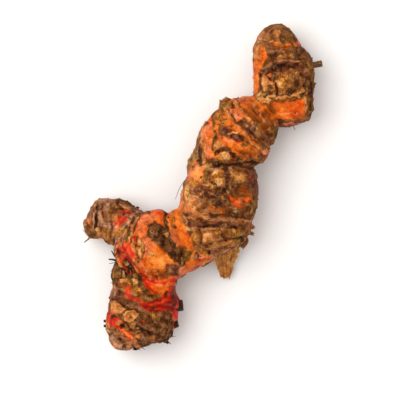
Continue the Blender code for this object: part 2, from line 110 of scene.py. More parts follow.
def smooth_path(sections: Sequence[Sequence[float]], step: float) -> tuple[Array, Array]:
    """Cross-sections at even steps on a smooth curve through the given ones.

    Args:
        sections: Rows that start with x, y and z and end with any sizes.
        step: Distance between the new cross-sections.

    Returns:
        The distance along the curve and the cross-sections there.
    """
    points = np.array(sections, float)
    ends = np.vstack([2 * points[0] - points[1], points, 2 * points[-1] - points[-2]])
    fine = []
    for i in range(1, len(ends) - 2):
        a, b, c, d = ends[i - 1 : i + 3]
        for t in np.linspace(0, 1, CURVE_SAMPLES, endpoint=False):
            linear = (c - a) * t
            square = (2 * a - 5 * b + 4 * c - d) * t**2
            cube = (3 * b - a - 3 * c + d) * t**3
            fine.append(b + 0.5 * (linear + square + cube))
    fine = np.array(fine + [points[-1]])
    gone = np.concatenate([[0], np.cumsum(np.linalg.norm(np.diff(fine[:, :3], axis=0), axis=1))])
    even = np.linspace(0, gone[-1], max(2, round(gone[-1] / step) + 1))
    return even, np.stack([np.interp(even, gone, fine[:, k]) for k in range(fine.shape[1])], axis=1)


def directions(centres: Array) -> tuple[Array, Array, Array]:
    """Three directions at each point of a path.

    Args:
        centres: The path's points.

    Returns:
        The way along it, the level way across it and the way up from both.
    """
    along = np.gradient(centres, axis=0)
    along /= np.linalg.norm(along, axis=1)[:, None]
    across = np.cross(along, (0.02, 0.01, 1.0))
    across /= np.linalg.norm(across, axis=1)[:, None]
    return along, across, np.cross(across, along)


def new_object(name: str, mesh: Mesh) -> Piece:
    """Puts a mesh into the scene.

    Args:
        name: The object's name.
        mesh: The mesh, which is used up.

    Returns:
        The new object.
    """
    data = bpy.data.meshes.new(name)
    bmesh.ops.recalc_face_normals(mesh, faces=mesh.faces)
    mesh.to_mesh(data)
    mesh.free()
    made = bpy.data.objects.new(name, data)
    bpy.context.scene.collection.objects.link(made)
    return made


def apply_modifiers(obj: Piece) -> None:
    """Makes the mesh that the object's modifiers give its own, and clears the modifiers."""
    graph = bpy.context.evaluated_depsgraph_get()
    data = bpy.data.meshes.new_from_object(obj.evaluated_get(graph))
    old = obj.data
    obj.modifiers.clear()
    obj.data = data
    bpy.data.meshes.remove(old)


def points_of(obj: Piece) -> Array:
    """The object's points, one a row, in millimetres."""
    points = np.empty(len(obj.data.vertices) * 3, np.float32)
    obj.data.vertices.foreach_get("co", points)
    return points.reshape(-1, 3).astype(float) / MM


def normals_of(obj: Piece) -> Array:
    """The direction in which the skin faces at each of the object's points."""
    normals = np.empty(len(obj.data.vertices) * 3, np.float32)
    obj.data.vertices.foreach_get("normal", normals)
    return normals.reshape(-1, 3).astype(float)


def put_points(obj: Piece, points: Array) -> None:
    """Moves the object's points to new places, one a row, in millimetres."""
    obj.data.vertices.foreach_set("co", (points * MM).astype(np.float32).ravel())
    obj.data.update()


def put_values(obj: Piece, name: str, values: Array) -> None:
    """Stores a value or a vector at each point under a name, for the shader to read."""
    vector = values.ndim == 2
    store = obj.data.attributes.new(name, "FLOAT_VECTOR" if vector else "FLOAT", "POINT")
    store.data.foreach_set("vector" if vector else "value", values.astype(np.float32).ravel())


def hollowness(obj: Piece, rounds: int) -> Array:
    """How far each point lies below the skin's own average round it.

    Args:
        obj: The object.
        rounds: How many times the neighbours are averaged, which sets how wide round it is looked.

    Returns:
        Millimetres, above 0 in a hollow and below 0 on a ridge.
    """
    points, normals = points_of(obj), normals_of(obj)
    ends = np.empty(len(obj.data.edges) * 2, np.int32)
    obj.data.edges.foreach_get("vertices", ends)
    ends = ends.reshape(-1, 2)
    here = np.concatenate([ends[:, 0], ends[:, 1]])
    there = np.concatenate([ends[:, 1], ends[:, 0]])
    count = np.maximum(np.bincount(here, minlength=len(points)), 1)
    smooth = points.copy()
    for _ in range(rounds):
        sums = [np.bincount(here, weights=smooth[there, k], minlength=len(points)) for k in range(3)]
        smooth = np.stack(sums, axis=1) / count[:, None]
    return ((smooth - points) * normals).sum(axis=1)


def tree_of(skin: Piece, points: Array) -> BVHTree:
    """A search tree of the skin's faces, in millimetres."""
    return BVHTree.FromPolygons(points.tolist(), [tuple(face.vertices) for face in skin.data.polygons])


def declare(
    piece: Piece, material: Material, shading_angle: float = 50.0
) -> Piece:
    """Dresses a piece of the rhizome, shades it smooth, says what it rides on and hides the solid part that
    it stands for.

    Args:
        piece: The piece.
        material: Its material.
        shading_angle: Edges sharper than this many degrees stay sharp.

    Returns:
        The same piece.
    """
    piece.data.materials.append(material)
    piece.data.shade_smooth()
    piece.data.set_sharp_from_angle(angle=math.radians(shading_angle))
    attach(piece, BODY)
    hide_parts(NODE)
    LOG.info("%s: %d points, %d faces", piece.name, len(piece.data.vertices), len(piece.data.polygons))
    return piece


# The plan and the marks that are laid out on it


@dataclass(frozen=True)
class Plan:
    """The plan of the rhizome: x runs right and y runs down in squares of 0.42 mm, as seen from above."""

    square: float = 0.42
    middle: tuple[float, float] = (200.0, 200.0)
    origin: tuple[float, float] = (202.5, 187.0)
    eye_height: float = 900.0
    level: float = 13.0

    def centre(self) -> tuple[float, float]:
        """The place under the plan's middle, in millimetres."""
        x = (self.middle[0] - self.origin[0]) * self.square
        y = (self.origin[1] - self.middle[1]) * self.square
        return x, y

    def places(self, points: Array) -> tuple[Array, Array]:
        """The x and y on the plan of points in millimetres."""
        x, y = self.centre()
        nearer = self.eye_height / (self.eye_height - (points[:, 2] - self.level)) / self.square
        return self.middle[0] + (points[:, 0] - x) * nearer, self.middle[1] - (points[:, 1] - y) * nearer


PLAN = Plan()


class Finish(Enum):
    """The finishes of the skin, from the lowest to the one that lies over all others."""

    ORANGE = "orange"
    APRICOT = "apricot"
    SALMON = "salmon"
    AMBER = "amber"
    VERMILION = "vermilion"
    RED = "red"
    DEEP_RED = "deep_red"
    BROWN = "brown"
    PURPLE = "purple"
    GREY = "grey"
    ASH = "ash"
    OLIVE = "olive"
    FIBRE = "fibre"
    TAN = "tan"
    GOLD = "gold"
    CREAM = "cream"
    CRUST = "crust"
    BLACK = "black"


def pairs(numbers: Sequence[float]) -> list[tuple[float, float]]:
    """Takes a row of numbers two by two."""
    return list(zip(numbers[::2], numbers[1::2]))


@dataclass(frozen=True)
class Mark:
    """A mark on the upper skin: its finish, how softly it ends, its height, and how firmly it covers."""

    finish: Finish

    def depth_inside(self, x: Array, y: Array) -> Array:
        """How far inside the mark each place of the plan lies, in squares, above 0 inside."""
        raise NotImplementedError


@dataclass(frozen=True)
class Blot(Mark):
    """A round or oval mark."""

    x: float
    y: float
    across: float
    along: float
    turn: float = 0.0
    soft: float = 2.8
    height: float = 0.0
    firm: float = 1.05

    def depth_inside(self, x: Array, y: Array) -> Array:
        """See Mark."""
        c, s = math.cos(self.turn), math.sin(self.turn)
        right, down = x - self.x, y - self.y
        reach = np.hypot((c * right + s * down) / self.across, (c * down - s * right) / self.along)
        return (1 - reach) * min(self.across, self.along)


def distance_to_line(x: Array, y: Array, start: Sequence[float], end: Sequence[float]) -> Array:
    """How far places lie from a straight line between two points.

    Args:
        x: Places.
        y: Places.
        start: The line's first point.
        end: Its last point.

    Returns:
        The distances.
    """
    way_x, way_y = end[0] - start[0], end[1] - start[1]
    from_x, from_y = x - start[0], y - start[1]
    share = np.clip((from_x * way_x + from_y * way_y) / (way_x**2 + way_y**2), 0, 1)
    return np.hypot(from_x - share * way_x, from_y - share * way_y)


@dataclass(frozen=True)
class Area(Mark):
    """A mark with corners, each given by its x and its y."""

    corners: tuple[float, ...]
    soft: float = 2.6
    height: float = 0.0
    firm: float = 1.0

    def depth_inside(self, x: Array, y: Array) -> Array:
        """See Mark."""
        away = np.full(len(x), np.inf)
        inside = np.zeros(len(x), bool)
        corners = pairs(self.corners)
        for start, end in zip(corners, corners[1:] + corners[:1]):
            away = np.minimum(away, distance_to_line(x, y, start, end))
            if start[1] != end[1]:
                crossing = start[0] + (y - start[1]) * (end[0] - start[0]) / (end[1] - start[1])
                inside ^= ((start[1] > y) != (end[1] > y)) & (x < crossing)
        return np.where(inside, away, -away)


@dataclass(frozen=True)
class Streak(Mark):
    """A long thin mark along a line, whose points are each given by their x and their y."""

    line: tuple[float, ...]
    width: float = 1.2
    soft: float = 1.6
    height: float = 0.0
    firm: float = 1.35

    def depth_inside(self, x: Array, y: Array) -> Array:
        """See Mark."""
        away = np.full(len(x), np.inf)
        line = pairs(self.line)
        for start, end in zip(line, line[1:]):
            away = np.minimum(away, distance_to_line(x, y, start, end))
        return self.width - away


F = Finish

CROWN_MARKS = (
    Area(F.BROWN, (262, 18, 284, 14, 304, 28, 322, 60, 324, 104, 316, 132, 280, 133, 262, 112, 252, 96, 246,
        60), 3),
    Area(F.GREY, (248, 50, 252, 36, 262, 28, 268, 34, 262, 44, 256, 50, 254, 64, 248, 64), 3),
    Area(F.ORANGE, (259, 44, 266, 46, 268, 56, 263, 62, 261, 74, 259, 90, 251, 98, 247, 84, 251, 66, 257, 56),
        2.2),
    Blot(F.TAN, 257, 52, 2.6, 7, 0.1, 2.6),
    Blot(F.OLIVE, 286, 37, 8, 5, 0.3, 3),
    Blot(F.CRUST, 284, 34, 5, 5, 0.2),
    Blot(F.PURPLE, 293, 35, 4, 6, -0.5),
    Blot(F.PURPLE, 271, 33, 6, 4, -0.6, 3),
    Area(F.AMBER, (270, 40, 284, 45, 300, 38, 302, 47, 285, 50, 274, 49)),
    Blot(F.ORANGE, 277, 44, 5, 2.8, 0.3, 1.8),
    Blot(F.ORANGE, 296, 43, 4.5, 3, -0.3, 2.4),
    Blot(F.TAN, 271.5, 42, 1.8, 1.5, 0, 1.8),
    Blot(F.CRUST, 269.5, 50, 3.6, 5.6, -0.2, 2.2),
    Area(F.PURPLE, (266, 48, 284, 50, 304, 49, 308, 58, 290, 60, 268, 60), 2.4),
    Area(F.FIBRE, (279, 52, 300, 49, 306, 56, 290, 58, 276, 57), 2.4),
    Blot(F.GOLD, 290, 53, 4, 2, -0.2, 1.8),
    Blot(F.GOLD, 280, 55.5, 3, 1.4, -0.1, 1.6),
    Streak(F.CRUST, (269, 57, 276, 53.5, 288, 51, 303, 51), 1, 1, -0.2),
    Streak(F.CRUST, (264, 63, 272, 59.5, 288, 57.5, 303, 58), 0.9, 1.2, -0.15),
    Streak(F.GREY, (258, 76, 262, 69, 270, 64.5, 280, 61, 292, 60, 300, 62), 0.5, 0.9, 0.1),
    Area(F.CRUST, (259, 84, 259, 74, 268, 65, 285, 61.5, 303, 63.5, 310, 74, 309, 92, 300, 97, 280, 98, 264,
        96), 2.2),
    Area(F.FIBRE, (276, 74, 284, 69, 297, 68, 303, 78, 301, 92, 291, 96, 276, 94, 272, 84), 2.2),
    # Painted shadow under the scar's upper lip: the dark crescent, the black line and the purple blot at the
    # top of the crater.
    Area(F.CRUST, (259, 80, 264, 71, 273, 65, 286, 62, 299, 64, 306, 71, 305, 76, 296, 70, 284, 69, 274, 73,
        266, 79), 2.4, -0.15),
    Streak(F.BLACK, (264, 74, 270, 69.5, 277, 67, 287, 66, 300, 68), 1.5, 2.2),
    Blot(F.PURPLE, 281, 71, 8, 3, -0.2, 2.4),
    Blot(F.VERMILION, 270, 75.5, 2.6, 2.4, 0.3, 1.4, 0.3),
    Area(F.TAN, (262, 80, 268, 79, 273, 82, 272, 87, 264, 87), 2, 0.15),
    Blot(F.OLIVE, 266, 89, 4.4, 3, 0, 2.2),
    Blot(F.GOLD, 273, 90, 3, 3.4, 0, 2.2),
    Blot(F.GOLD, 281, 83, 4.8, 7, 0.3, 2.4, 0.35),
    Blot(F.CREAM, 280, 85, 2, 3, 0.3, 1.6),
    Blot(F.AMBER, 283, 78, 2.4, 2, 0.3, 2),
    Blot(F.CREAM, 295, 72.5, 3.4, 1.5, 0.5, 1.8),
    Blot(F.CREAM, 291, 69.5, 1.2, 1, 0.5, 1.2),
    Blot(F.CRUST, 297, 82, 2.4, 5, 0.2, 2.4),
    Streak(F.BLACK, (273.5, 80, 275, 85, 277.5, 91, 277, 96), 0.9, 1, -0.35),
    Blot(F.BLACK, 291.5, 90.5, 3.4, 2.8, 0, 1.8, -0.15),
    Streak(F.TAN, (268, 95, 278, 97.5, 290, 95.5, 301, 93), 1.4, 1.4),
    Area(F.CREAM, (256, 93, 261, 91, 268, 94, 273, 101, 268, 106, 259, 101), 2.4, 0.15),
    Blot(F.OLIVE, 271, 98, 4, 2.4, 0.3, 2),
    Area(F.OLIVE, (304, 60, 316, 68, 320, 106, 313, 126, 308, 117, 306, 100, 306, 80)),
    Streak(F.FIBRE, (308, 70, 308, 84, 306, 100, 304, 116), 1.4),
    Streak(F.TAN, (306, 99, 306, 106, 305.5, 113), 0.8, 1),
    Streak(F.BLACK, (311, 83, 310.5, 97), 1.2, 1.2, -0.3),
    Streak(F.CRUST, (312, 98, 311, 110, 309, 119), 1.4, 1.8),
    Area(F.ORANGE, (262, 106, 272, 103, 284, 100, 304, 98, 306, 112, 302, 121, 278, 121, 268, 113), 1.8),
    Area(F.VERMILION, (285, 104, 303, 101, 303, 111, 299, 117, 286, 116), 4),
    Area(F.AMBER, (260, 107, 270, 105, 276, 112, 272, 118, 266, 114), 3),
    Streak(F.AMBER, (270, 101.5, 284, 100.5, 298, 98.5), 0.9, 1.4),
    Streak(F.PURPLE, (279, 123, 292, 124, 304, 121), 2.2, 2),
    Streak(F.SALMON, (284, 124.5, 300, 123.5), 1.3),
    Blot(F.TAN, 276, 33, 4.4, 3.4, 0.2, 3.4),
    Blot(F.GREY, 265, 37, 4, 4, 0.2, 3.2),
    Blot(F.CREAM, 264, 87, 2.4, 2.4, 0.2, 2.4),
    Blot(F.TAN, 265, 81, 4, 7, 0.1, 3),
    Blot(F.BROWN, 307, 114, 2.6, 6, 0.1),
    Blot(F.PURPLE, 272, 51, 4.4, 4, 0.3),
    # Painted shadow at the top of the crater.
    Blot(F.PURPLE, 282, 68, 8, 3, -0.15),
    Blot(F.OLIVE, 290, 33, 5, 4, 0.2, 3),
    Blot(F.ORANGE, 286, 45, 7, 2.6, 0.05, 2.6),
    Blot(F.VERMILION, 262, 100, 2, 3, 0.2, 2.4),
    Blot(F.TAN, 264, 73, 2.6, 3, 0.4, 2.4),
    Blot(F.CRUST, 305, 77, 3.4, 5, 0.2),
    # Painted shadow: the dark band under the scar's upper lip.
    Streak(F.PURPLE, (265, 72, 274, 66, 286, 63.5, 298, 66, 305, 72), 3, 2.6),
    Streak(F.BLACK, (268, 69.5, 280, 66, 294, 67), 1.5, 2.4),
)

UPPER_MARKS = (
    Area(F.ORANGE, (250, 90, 258, 99, 270, 112, 281, 127, 274, 150, 264, 164, 230, 160, 192, 166, 186, 140,
        204, 108, 230, 90)),
    Area(F.SALMON, (230, 98, 240, 92, 254, 94, 254, 99, 246, 104, 238, 106), 2.2),
    Area(F.AMBER, (243, 108, 252, 103, 262, 104, 272, 115, 280, 128, 272, 150, 262, 148, 256, 134, 249, 119),
        3),
    Streak(F.ORANGE, (246, 102, 257, 105, 266, 112, 275, 122), 2.6, 2.6),
    Area(F.OLIVE, (258, 122, 268, 122, 282, 132, 274, 150, 264, 146, 257, 133), 3.4),
    Blot(F.BROWN, 266, 138, 8, 9, 0.4, 3.4),
    Area(F.PURPLE, (237, 117, 247, 120, 257, 128, 263, 138, 255, 139, 244, 131)),
    Blot(F.BLACK, 251.5, 131, 5.6, 4, 0.6, 2.4, -0.15),
    Blot(F.CRUST, 242, 123, 4, 2.6, 0.6, 2.4),
    Blot(F.GREY, 246.5, 125.5, 1.8, 1.2, 0.6, 1.4),
    Area(F.SALMON, (229, 107, 236, 107, 242, 114, 243, 121, 235, 122, 229, 115), 2.4),
    Blot(F.CRUST, 233, 106, 3, 1.6, 0.5, 2),
    Streak(F.TAN, (233, 99, 241, 109, 249, 119, 258, 130), 0.8, 0.8, 0.3),
    # Painted shadow on the lower side of the first ridge line.
    Streak(F.BROWN, (235, 98, 243.5, 108, 251.5, 118), 0.6, 0.9, -0.15),
    Streak(F.ORANGE, (236, 127, 246, 137, 256, 144, 266, 148), 2.6, 2.2),
    Area(F.OLIVE, (208, 114, 220, 104, 232, 101, 231, 108, 222, 112, 213, 121), 3),
    Blot(F.AMBER, 219, 113, 5, 3, -0.5, 2.6),
    Area(F.GOLD, (217, 114, 226, 112, 229, 119, 224, 124, 218, 122), 3),
    Blot(F.ORANGE, 224, 117, 3, 2.4, 0, 2),
    Streak(F.BROWN, (214, 116, 219, 119, 227, 118), 0.7, 1.2),
    Streak(F.BROWN, (217, 123, 224, 127, 231, 127), 0.8, 1.4),
    Blot(F.PURPLE, 226, 133, 7.6, 5.4, 0.3, 2.6),
    Blot(F.PURPLE, 236, 137.5, 7.4, 4.2, 0.4, 2.6),
    Blot(F.BROWN, 219, 128, 4.4, 3, 0.3),
    Blot(F.OLIVE, 243, 141, 4, 2.6, 0.5, 2.6),
    Blot(F.BLACK, 238, 136.5, 2.2, 1.6, 0.4, 1.8),
    Streak(F.CREAM, (229, 134, 233, 132.5, 236, 134), 0.5, 0.9),
    Streak(F.SALMON, (220, 139, 227, 141, 235, 142), 0.9, 1.4),
    Streak(F.TAN, (226, 109, 231, 120, 240, 131, 250, 142, 259, 147, 270, 150), 0.8, 0.8, 0.35),
    # Painted shadow on the lower side of the second ridge line.
    Streak(F.CRUST, (229, 109, 234, 119, 243, 130, 252, 139, 260, 144), 0.6, 0.9, -0.15),
    Area(F.SALMON, (198, 130, 204, 124, 213, 121, 213, 140, 211, 158, 202, 164, 197, 148), 2.2),
    Blot(F.ORANGE, 208, 139, 4.2, 9),
    Blot(F.CRUST, 204, 124, 3, 2.4, -0.6, 2.2),
    Streak(F.OLIVE, (213, 121, 215.5, 134, 213.5, 149), 1.5, 1.6, -0.15),
    Streak(F.OLIVE, (196, 130, 195.5, 148), 2.2),
    Blot(F.TAN, 219, 146, 4, 4, 0, 2.6),
    Area(F.ORANGE, (224, 142, 240, 141, 256, 147, 264, 151, 258, 159, 236, 158, 226, 150), 2.2),
    Area(F.AMBER, (238, 151, 258, 151, 256, 159, 240, 158), 3),
    Blot(F.CRUST, 244, 145, 2.8, 2.2, 0, 2.2),
    Blot(F.BROWN, 251.5, 149, 2.2, 1.8, 0, 2.2),
    Blot(F.RED, 237.5, 141, 2.2, 1.4, 0.4, 1.6),
    Blot(F.PURPLE, 262, 154, 4, 4, 0, 2.4),
    Blot(F.SALMON, 264, 152, 3, 4, 0.5, 2.2),
    Area(F.BROWN, (196, 158, 216, 158, 236, 159, 264, 156, 264, 168, 240, 170, 222, 167, 200, 168)),
    Streak(F.CRUST, (216, 153, 222, 149, 229, 150, 234, 156, 240, 160), 1.7, 2),
    Blot(F.CRUST, 216, 160, 4.2, 3, 0.2, 2.4),
    Blot(F.CREAM, 226, 155, 4.2, 3.4, 0.3, 2, 0.3),
    Blot(F.SALMON, 228, 156, 1.8, 1.6, 0.3, 1.4),
    Blot(F.GOLD, 221.5, 158, 3.2, 2.4, -0.4, 2),
    Streak(F.OLIVE, (200, 162, 212, 164, 224, 163), 1.6, 2),
    Streak(F.BLACK, (214, 165.5, 226, 164.5, 240, 162.5, 256, 161.5), 1, 1.6, -0.2),
    Blot(F.AMBER, 254, 106, 4, 4.4, 0.5, 3.2),
    Blot(F.AMBER, 264, 117, 6.4, 6.4, 0.5, 3.4),
    Blot(F.AMBER, 266, 127, 6, 5.4, 0.5, 3.2),
    Blot(F.AMBER, 246, 142, 5.4, 3.4, 0.6, 3.2),
    Blot(F.PURPLE, 255, 126, 4, 4, 0.5, 3),
    Blot(F.BROWN, 265, 145, 4.4, 3.4, 0.4, 3),
    Blot(F.AMBER, 255, 146, 4.4, 2.6, 0.4, 3),
    Blot(F.APRICOT, 215, 128, 3, 5, 0.2, 3.2),
    Blot(F.TAN, 204, 166, 4.4, 2.6, 0.1, 3),
    Streak(F.TAN, (201.5, 136, 203.5, 149, 204.5, 161)),
    # Painted shadow of the upper sheath on the skin beside it.
    Streak(F.BLACK, (198, 144, 199.3, 153, 199.8, 162), 2.3, 1.8, -0.2),
)

BELLY_MARKS = (
    Area(F.GREY, (196, 166, 222, 166, 262, 166, 270, 196, 264, 226, 252, 250, 226, 266, 204, 256, 186, 246,
        174, 214, 186, 180)),
    Area(F.BROWN, (232, 166, 262, 166, 270, 196, 264, 226, 252, 250, 236, 250, 240, 212, 228, 196), 4),
    Area(F.SALMON, (190, 168, 200, 165, 206, 168, 206, 180, 200, 186, 190, 184, 184, 180)),
    Blot(F.OLIVE, 206, 174, 3.4, 6, 0, 2.6),
    Blot(F.GOLD, 201, 180, 3.4, 3.4, 0, 2.6),
    Blot(F.CREAM, 217.5, 175, 4.4, 6.4, 0.3, 3, 0.15),
    Blot(F.GOLD, 219, 184, 3.4, 5, -0.2, 3, 0.1),
    Blot(F.GOLD, 221, 174, 3, 4.5, 0, 2.2),
    Blot(F.GOLD, 239, 177.5, 6.4, 4.2, 0.1, 2.6, 0.15),
    Blot(F.BROWN, 234, 177, 1.8, 2.6, 0.3, 2.4),
    Streak(F.BROWN, (209, 170, 210, 180, 212, 188), 1, 1.8),
    Streak(F.CRUST, (226, 168, 228.5, 178, 227, 190), 1.9, 2.2),
    Area(F.BROWN, (248, 164, 264, 170, 268, 200, 254, 202, 248, 196, 250, 182), 2.8),
    Blot(F.VERMILION, 251, 172, 3.4, 4, 0.3, 3),
    Blot(F.PURPLE, 256, 186, 5, 10, 0, 3),
    Blot(F.CRUST, 250, 190, 3, 4, 0, 2.6),
    Area(F.AMBER, (236, 186, 249, 184, 252, 196, 240, 195), 2.8),
    Blot(F.CRUST, 235, 187, 5.4, 3.4, 0, 2.6),
    Blot(F.GREY, 234.5, 190, 1.8, 1.2, 0.2, 1.4),
    Area(F.ORANGE, (176, 192, 183, 190, 185, 205, 180, 216, 174, 214), 2),
    Blot(F.CREAM, 187.5, 193, 2.8, 6, 0.05, 2, 0.15),
    Area(F.TAN, (183, 202, 190, 198, 196, 201, 197, 210, 192, 216, 182, 214), 3.4),
    Blot(F.BROWN, 204, 206, 5, 5.4, 0.2, 3.2),
    Blot(F.SALMON, 188, 209, 5, 3, -0.2),
    Blot(F.BROWN, 199, 209, 3, 2.4, 0.2, 2.2),
    Area(F.PURPLE, (192, 188, 199, 184, 210, 186, 213, 196, 202, 199, 194, 196), 3),
    Blot(F.GOLD, 202, 193, 1.8, 1.4, 0, 1.6),
    Blot(F.SALMON, 194, 199, 4, 2.4, 0.3, 2.4),
    Area(F.CRUST, (207, 191, 218, 186, 229, 188, 235, 197, 229, 208, 216, 210, 207, 204), 2.8),
    Blot(F.PURPLE, 213, 197, 4.5, 5, 0, 3),
    Blot(F.BLACK, 210.5, 199, 2.4, 3, 0.3, 2),
    Blot(F.FIBRE, 222, 198, 2.6, 4, 0.2, 2.2),
    Area(F.AMBER, (206, 206, 220, 205, 234, 207, 232, 219, 206, 217), 3),
    Blot(F.ORANGE, 212, 206, 2.6, 2, 0.3, 2.2),
    Blot(F.ORANGE, 221, 211, 2.4, 2, 0.3, 2.2),
    Blot(F.CRUST, 216, 213, 4, 3, 0.2, 2.6),
    Blot(F.CRUST, 229, 213, 4, 4, 0.2, 2.6),
    Area(F.VERMILION, (225, 194, 238, 197, 256, 195, 249, 202, 241, 210, 234, 205), 1.8),
    Blot(F.AMBER, 243, 203, 4.4, 3.4, 0.3, 2.4),
    Blot(F.BROWN, 240, 199, 3, 1.2, 0.1, 1.6),
    Area(F.BROWN, (236, 210, 244, 206, 254, 199, 264, 204, 260, 226, 232, 221), 2.8),
    Blot(F.OLIVE, 254, 208, 4, 8, 0.2, 3),
    Area(F.PURPLE, (182, 218, 196, 214.5, 214, 214, 222, 218, 206, 222, 190, 224), 2.4),
    Streak(F.TAN, (180, 221, 187, 218.5, 195, 218), 0.6),
    Streak(F.GREY, (206, 218.5, 217, 219, 226, 221), 0.5),
    Streak(F.TAN, (237, 220, 245, 219, 252, 220.5), 0.5, 1.4),
    # Painted shadow: the dark band under the ring's lip.
    Streak(F.PURPLE, (190, 225, 203, 223, 214, 224.5, 226, 223, 238, 225), 2.8, 3),
    Blot(F.AMBER, 230, 225, 5, 2, 0.1, 2.2),
    # Painted shadow: the darkest line under the ring's lip.
    Streak(F.BLACK, (196, 226.5, 209, 226, 216, 226.5, 224, 226, 236, 227), 1.2, 2, -0.1),
    Area(F.BROWN, (186, 232, 204, 229, 228, 229, 240, 229, 240, 243, 226, 250, 204, 249, 190, 241), 2.4),
    Blot(F.GOLD, 196, 238, 5, 4, 0.2, 3),
    Blot(F.TAN, 229, 243, 6, 3, -0.1, 3),
    Blot(F.FIBRE, 214, 243, 7, 4, 0.1, 3),
    Area(F.OLIVE, (230, 228, 246, 227, 246, 240, 234, 246, 230, 238), 3.4),
    Blot(F.GOLD, 217, 232, 4.4, 3, 0.4, 2.4, 0.15),
    Blot(F.TAN, 206, 238, 5, 4, 0.3),
    Blot(F.AMBER, 226, 239, 3.4, 4, 0.3, 2.6),
    Streak(F.CRUST, (219, 226, 221, 234, 226, 241), 1),
    Streak(F.CRUST, (199, 230, 203, 238, 201, 244), 0.8),
    # Painted highlight: a whitish spot at the left end of the ring.
    Blot(F.CREAM, 188, 229.5, 3.4, 2.6, 0.3, 2.4),
    Blot(F.PURPLE, 192, 226, 5, 3.4, 0.2, 2.6),
    Streak(F.BROWN, (187, 238, 195, 245, 206, 250, 220, 251.5, 233, 249, 244, 242), 0.9, 1.2, -0.25),
    Streak(F.GREY, (212, 254.5, 226, 254, 238, 250), 1.6, 1.8),
    Area(F.SALMON, (188, 249, 200, 252.5, 214, 254, 216, 262, 196, 266, 184, 266, 186, 256), 2.4),
    Blot(F.GOLD, 204, 252.5, 3.4, 1.8, 0.3, 1.8),
    Blot(F.CRUST, 195, 255, 3.6, 3.4, 0, 1.4, -0.15),
    Blot(F.BLACK, 209, 252.5, 1.9, 2.2, 0, 1.2),
    Streak(F.GOLD, (198, 262, 207, 261), 1.6, 1.2),
    Blot(F.PURPLE, 226, 225, 6, 4, 0.1, 3),
    Blot(F.GOLD, 214, 186, 3.4, 3, 0.3),
    Blot(F.CRUST, 235, 214, 5, 4.4, 0.3, 3.2),
    Blot(F.AMBER, 236, 206, 3.4, 2.6, 0.4, 3),
    Blot(F.PURPLE, 207, 200, 3, 3.4, 0.2),
    Blot(F.TAN, 205, 216, 3.4, 2.2, 0.1),
    Blot(F.TAN, 195, 214, 4.4, 2.4, 0.1),
    Blot(F.GOLD, 195, 184, 3.4, 3.6, 0.1),
    Blot(F.FIBRE, 226, 184, 2.4, 4, 0.1),
    Blot(F.CRUST, 224, 226, 5, 2.6, 0.1),
    Blot(F.SALMON, 185, 214, 3, 4.4, 0.1, 3),
    Blot(F.TAN, 196, 213, 4.4, 3.4, 0.1, 3),
    Blot(F.GOLD, 193, 182, 3.4, 4, 0.1, 3),
    Blot(F.AMBER, 236, 176, 2.4, 5, 0.1),
    Blot(F.GOLD, 240, 176, 4.4, 2.8, 0.1, 2.6),
    Blot(F.CREAM, 216, 174, 3, 4.4, 0.2),
    Blot(F.GOLD, 214, 184, 4.4, 3.4, 0.2),
    Blot(F.TAN, 200, 215, 4.4, 2.6, 0.1),
    Blot(F.PURPLE, 204, 190, 5.4, 3, 0.2, 3),
    Blot(F.PURPLE, 197, 224, 6, 3.4, 0.1, 3),
    Blot(F.GOLD, 236, 231, 3.4, 2.6, 0.2),
    Blot(F.GOLD, 218, 178, 6, 7, 0.3),
    Blot(F.CREAM, 219.5, 181, 3.6, 4, 0.3, 2.4),
    Blot(F.GOLD, 238.5, 177, 6.4, 4.4, 0.1, 2.6),
    Blot(F.CREAM, 237, 177.5, 2.6, 1.6, 0.1, 2),
    Area(F.PURPLE, (244, 167, 252, 168, 258, 182, 255, 194, 248, 190, 246, 178), 3, 0, 0.9),
    Area(F.DEEP_RED, (245, 169, 251, 170, 255, 180, 250, 187, 247, 178), 3, 0, 0.8),
    Blot(F.PURPLE, 251, 190, 3, 3.6),
    Blot(F.APRICOT, 197, 173, 5, 6, 0.3, 3.2),
)

COLLAR_MARKS = (
    Area(F.ORANGE, (164, 200, 184, 202, 183, 216, 189, 234, 196, 250, 198, 262, 186, 270, 174, 250, 164, 226),
        2.2),
    Area(F.SALMON, (164, 202, 184, 202, 182, 209, 168, 210)),
    Area(F.GOLD, (172, 211, 180, 210, 184, 214, 180, 221, 173, 221)),
    Blot(F.BROWN, 174, 225.5, 3.6, 2, 0.1, 2),
    Blot(F.CRUST, 176, 227, 1.6, 1.2, 0.1, 1.2),
    Area(F.ORANGE, (180, 222, 187, 226, 191, 244, 184, 248, 178, 236)),
    Blot(F.VERMILION, 186, 238, 3, 6, 0.3, 3),
    Area(F.SALMON, (168, 228, 175, 231, 180, 244, 174, 246), 2.8),
    Area(F.OLIVE, (172, 245, 184, 247, 193, 251, 189, 259, 181, 265, 174, 258), 2.8),
    Streak(F.CRUST, (167, 208, 166.5, 224, 169, 240, 176, 253, 183, 266), 1.5, 1.8, -0.4),
    Blot(F.BLACK, 180, 255, 3.4, 5.4, 0.4, 2.4),
    Blot(F.PURPLE, 187, 248, 3.6, 2.4, 0.3, 2.4),
    Streak(F.ORANGE, (176, 209, 179, 222, 183, 236, 190, 248), 3, 2, 0.55),
)

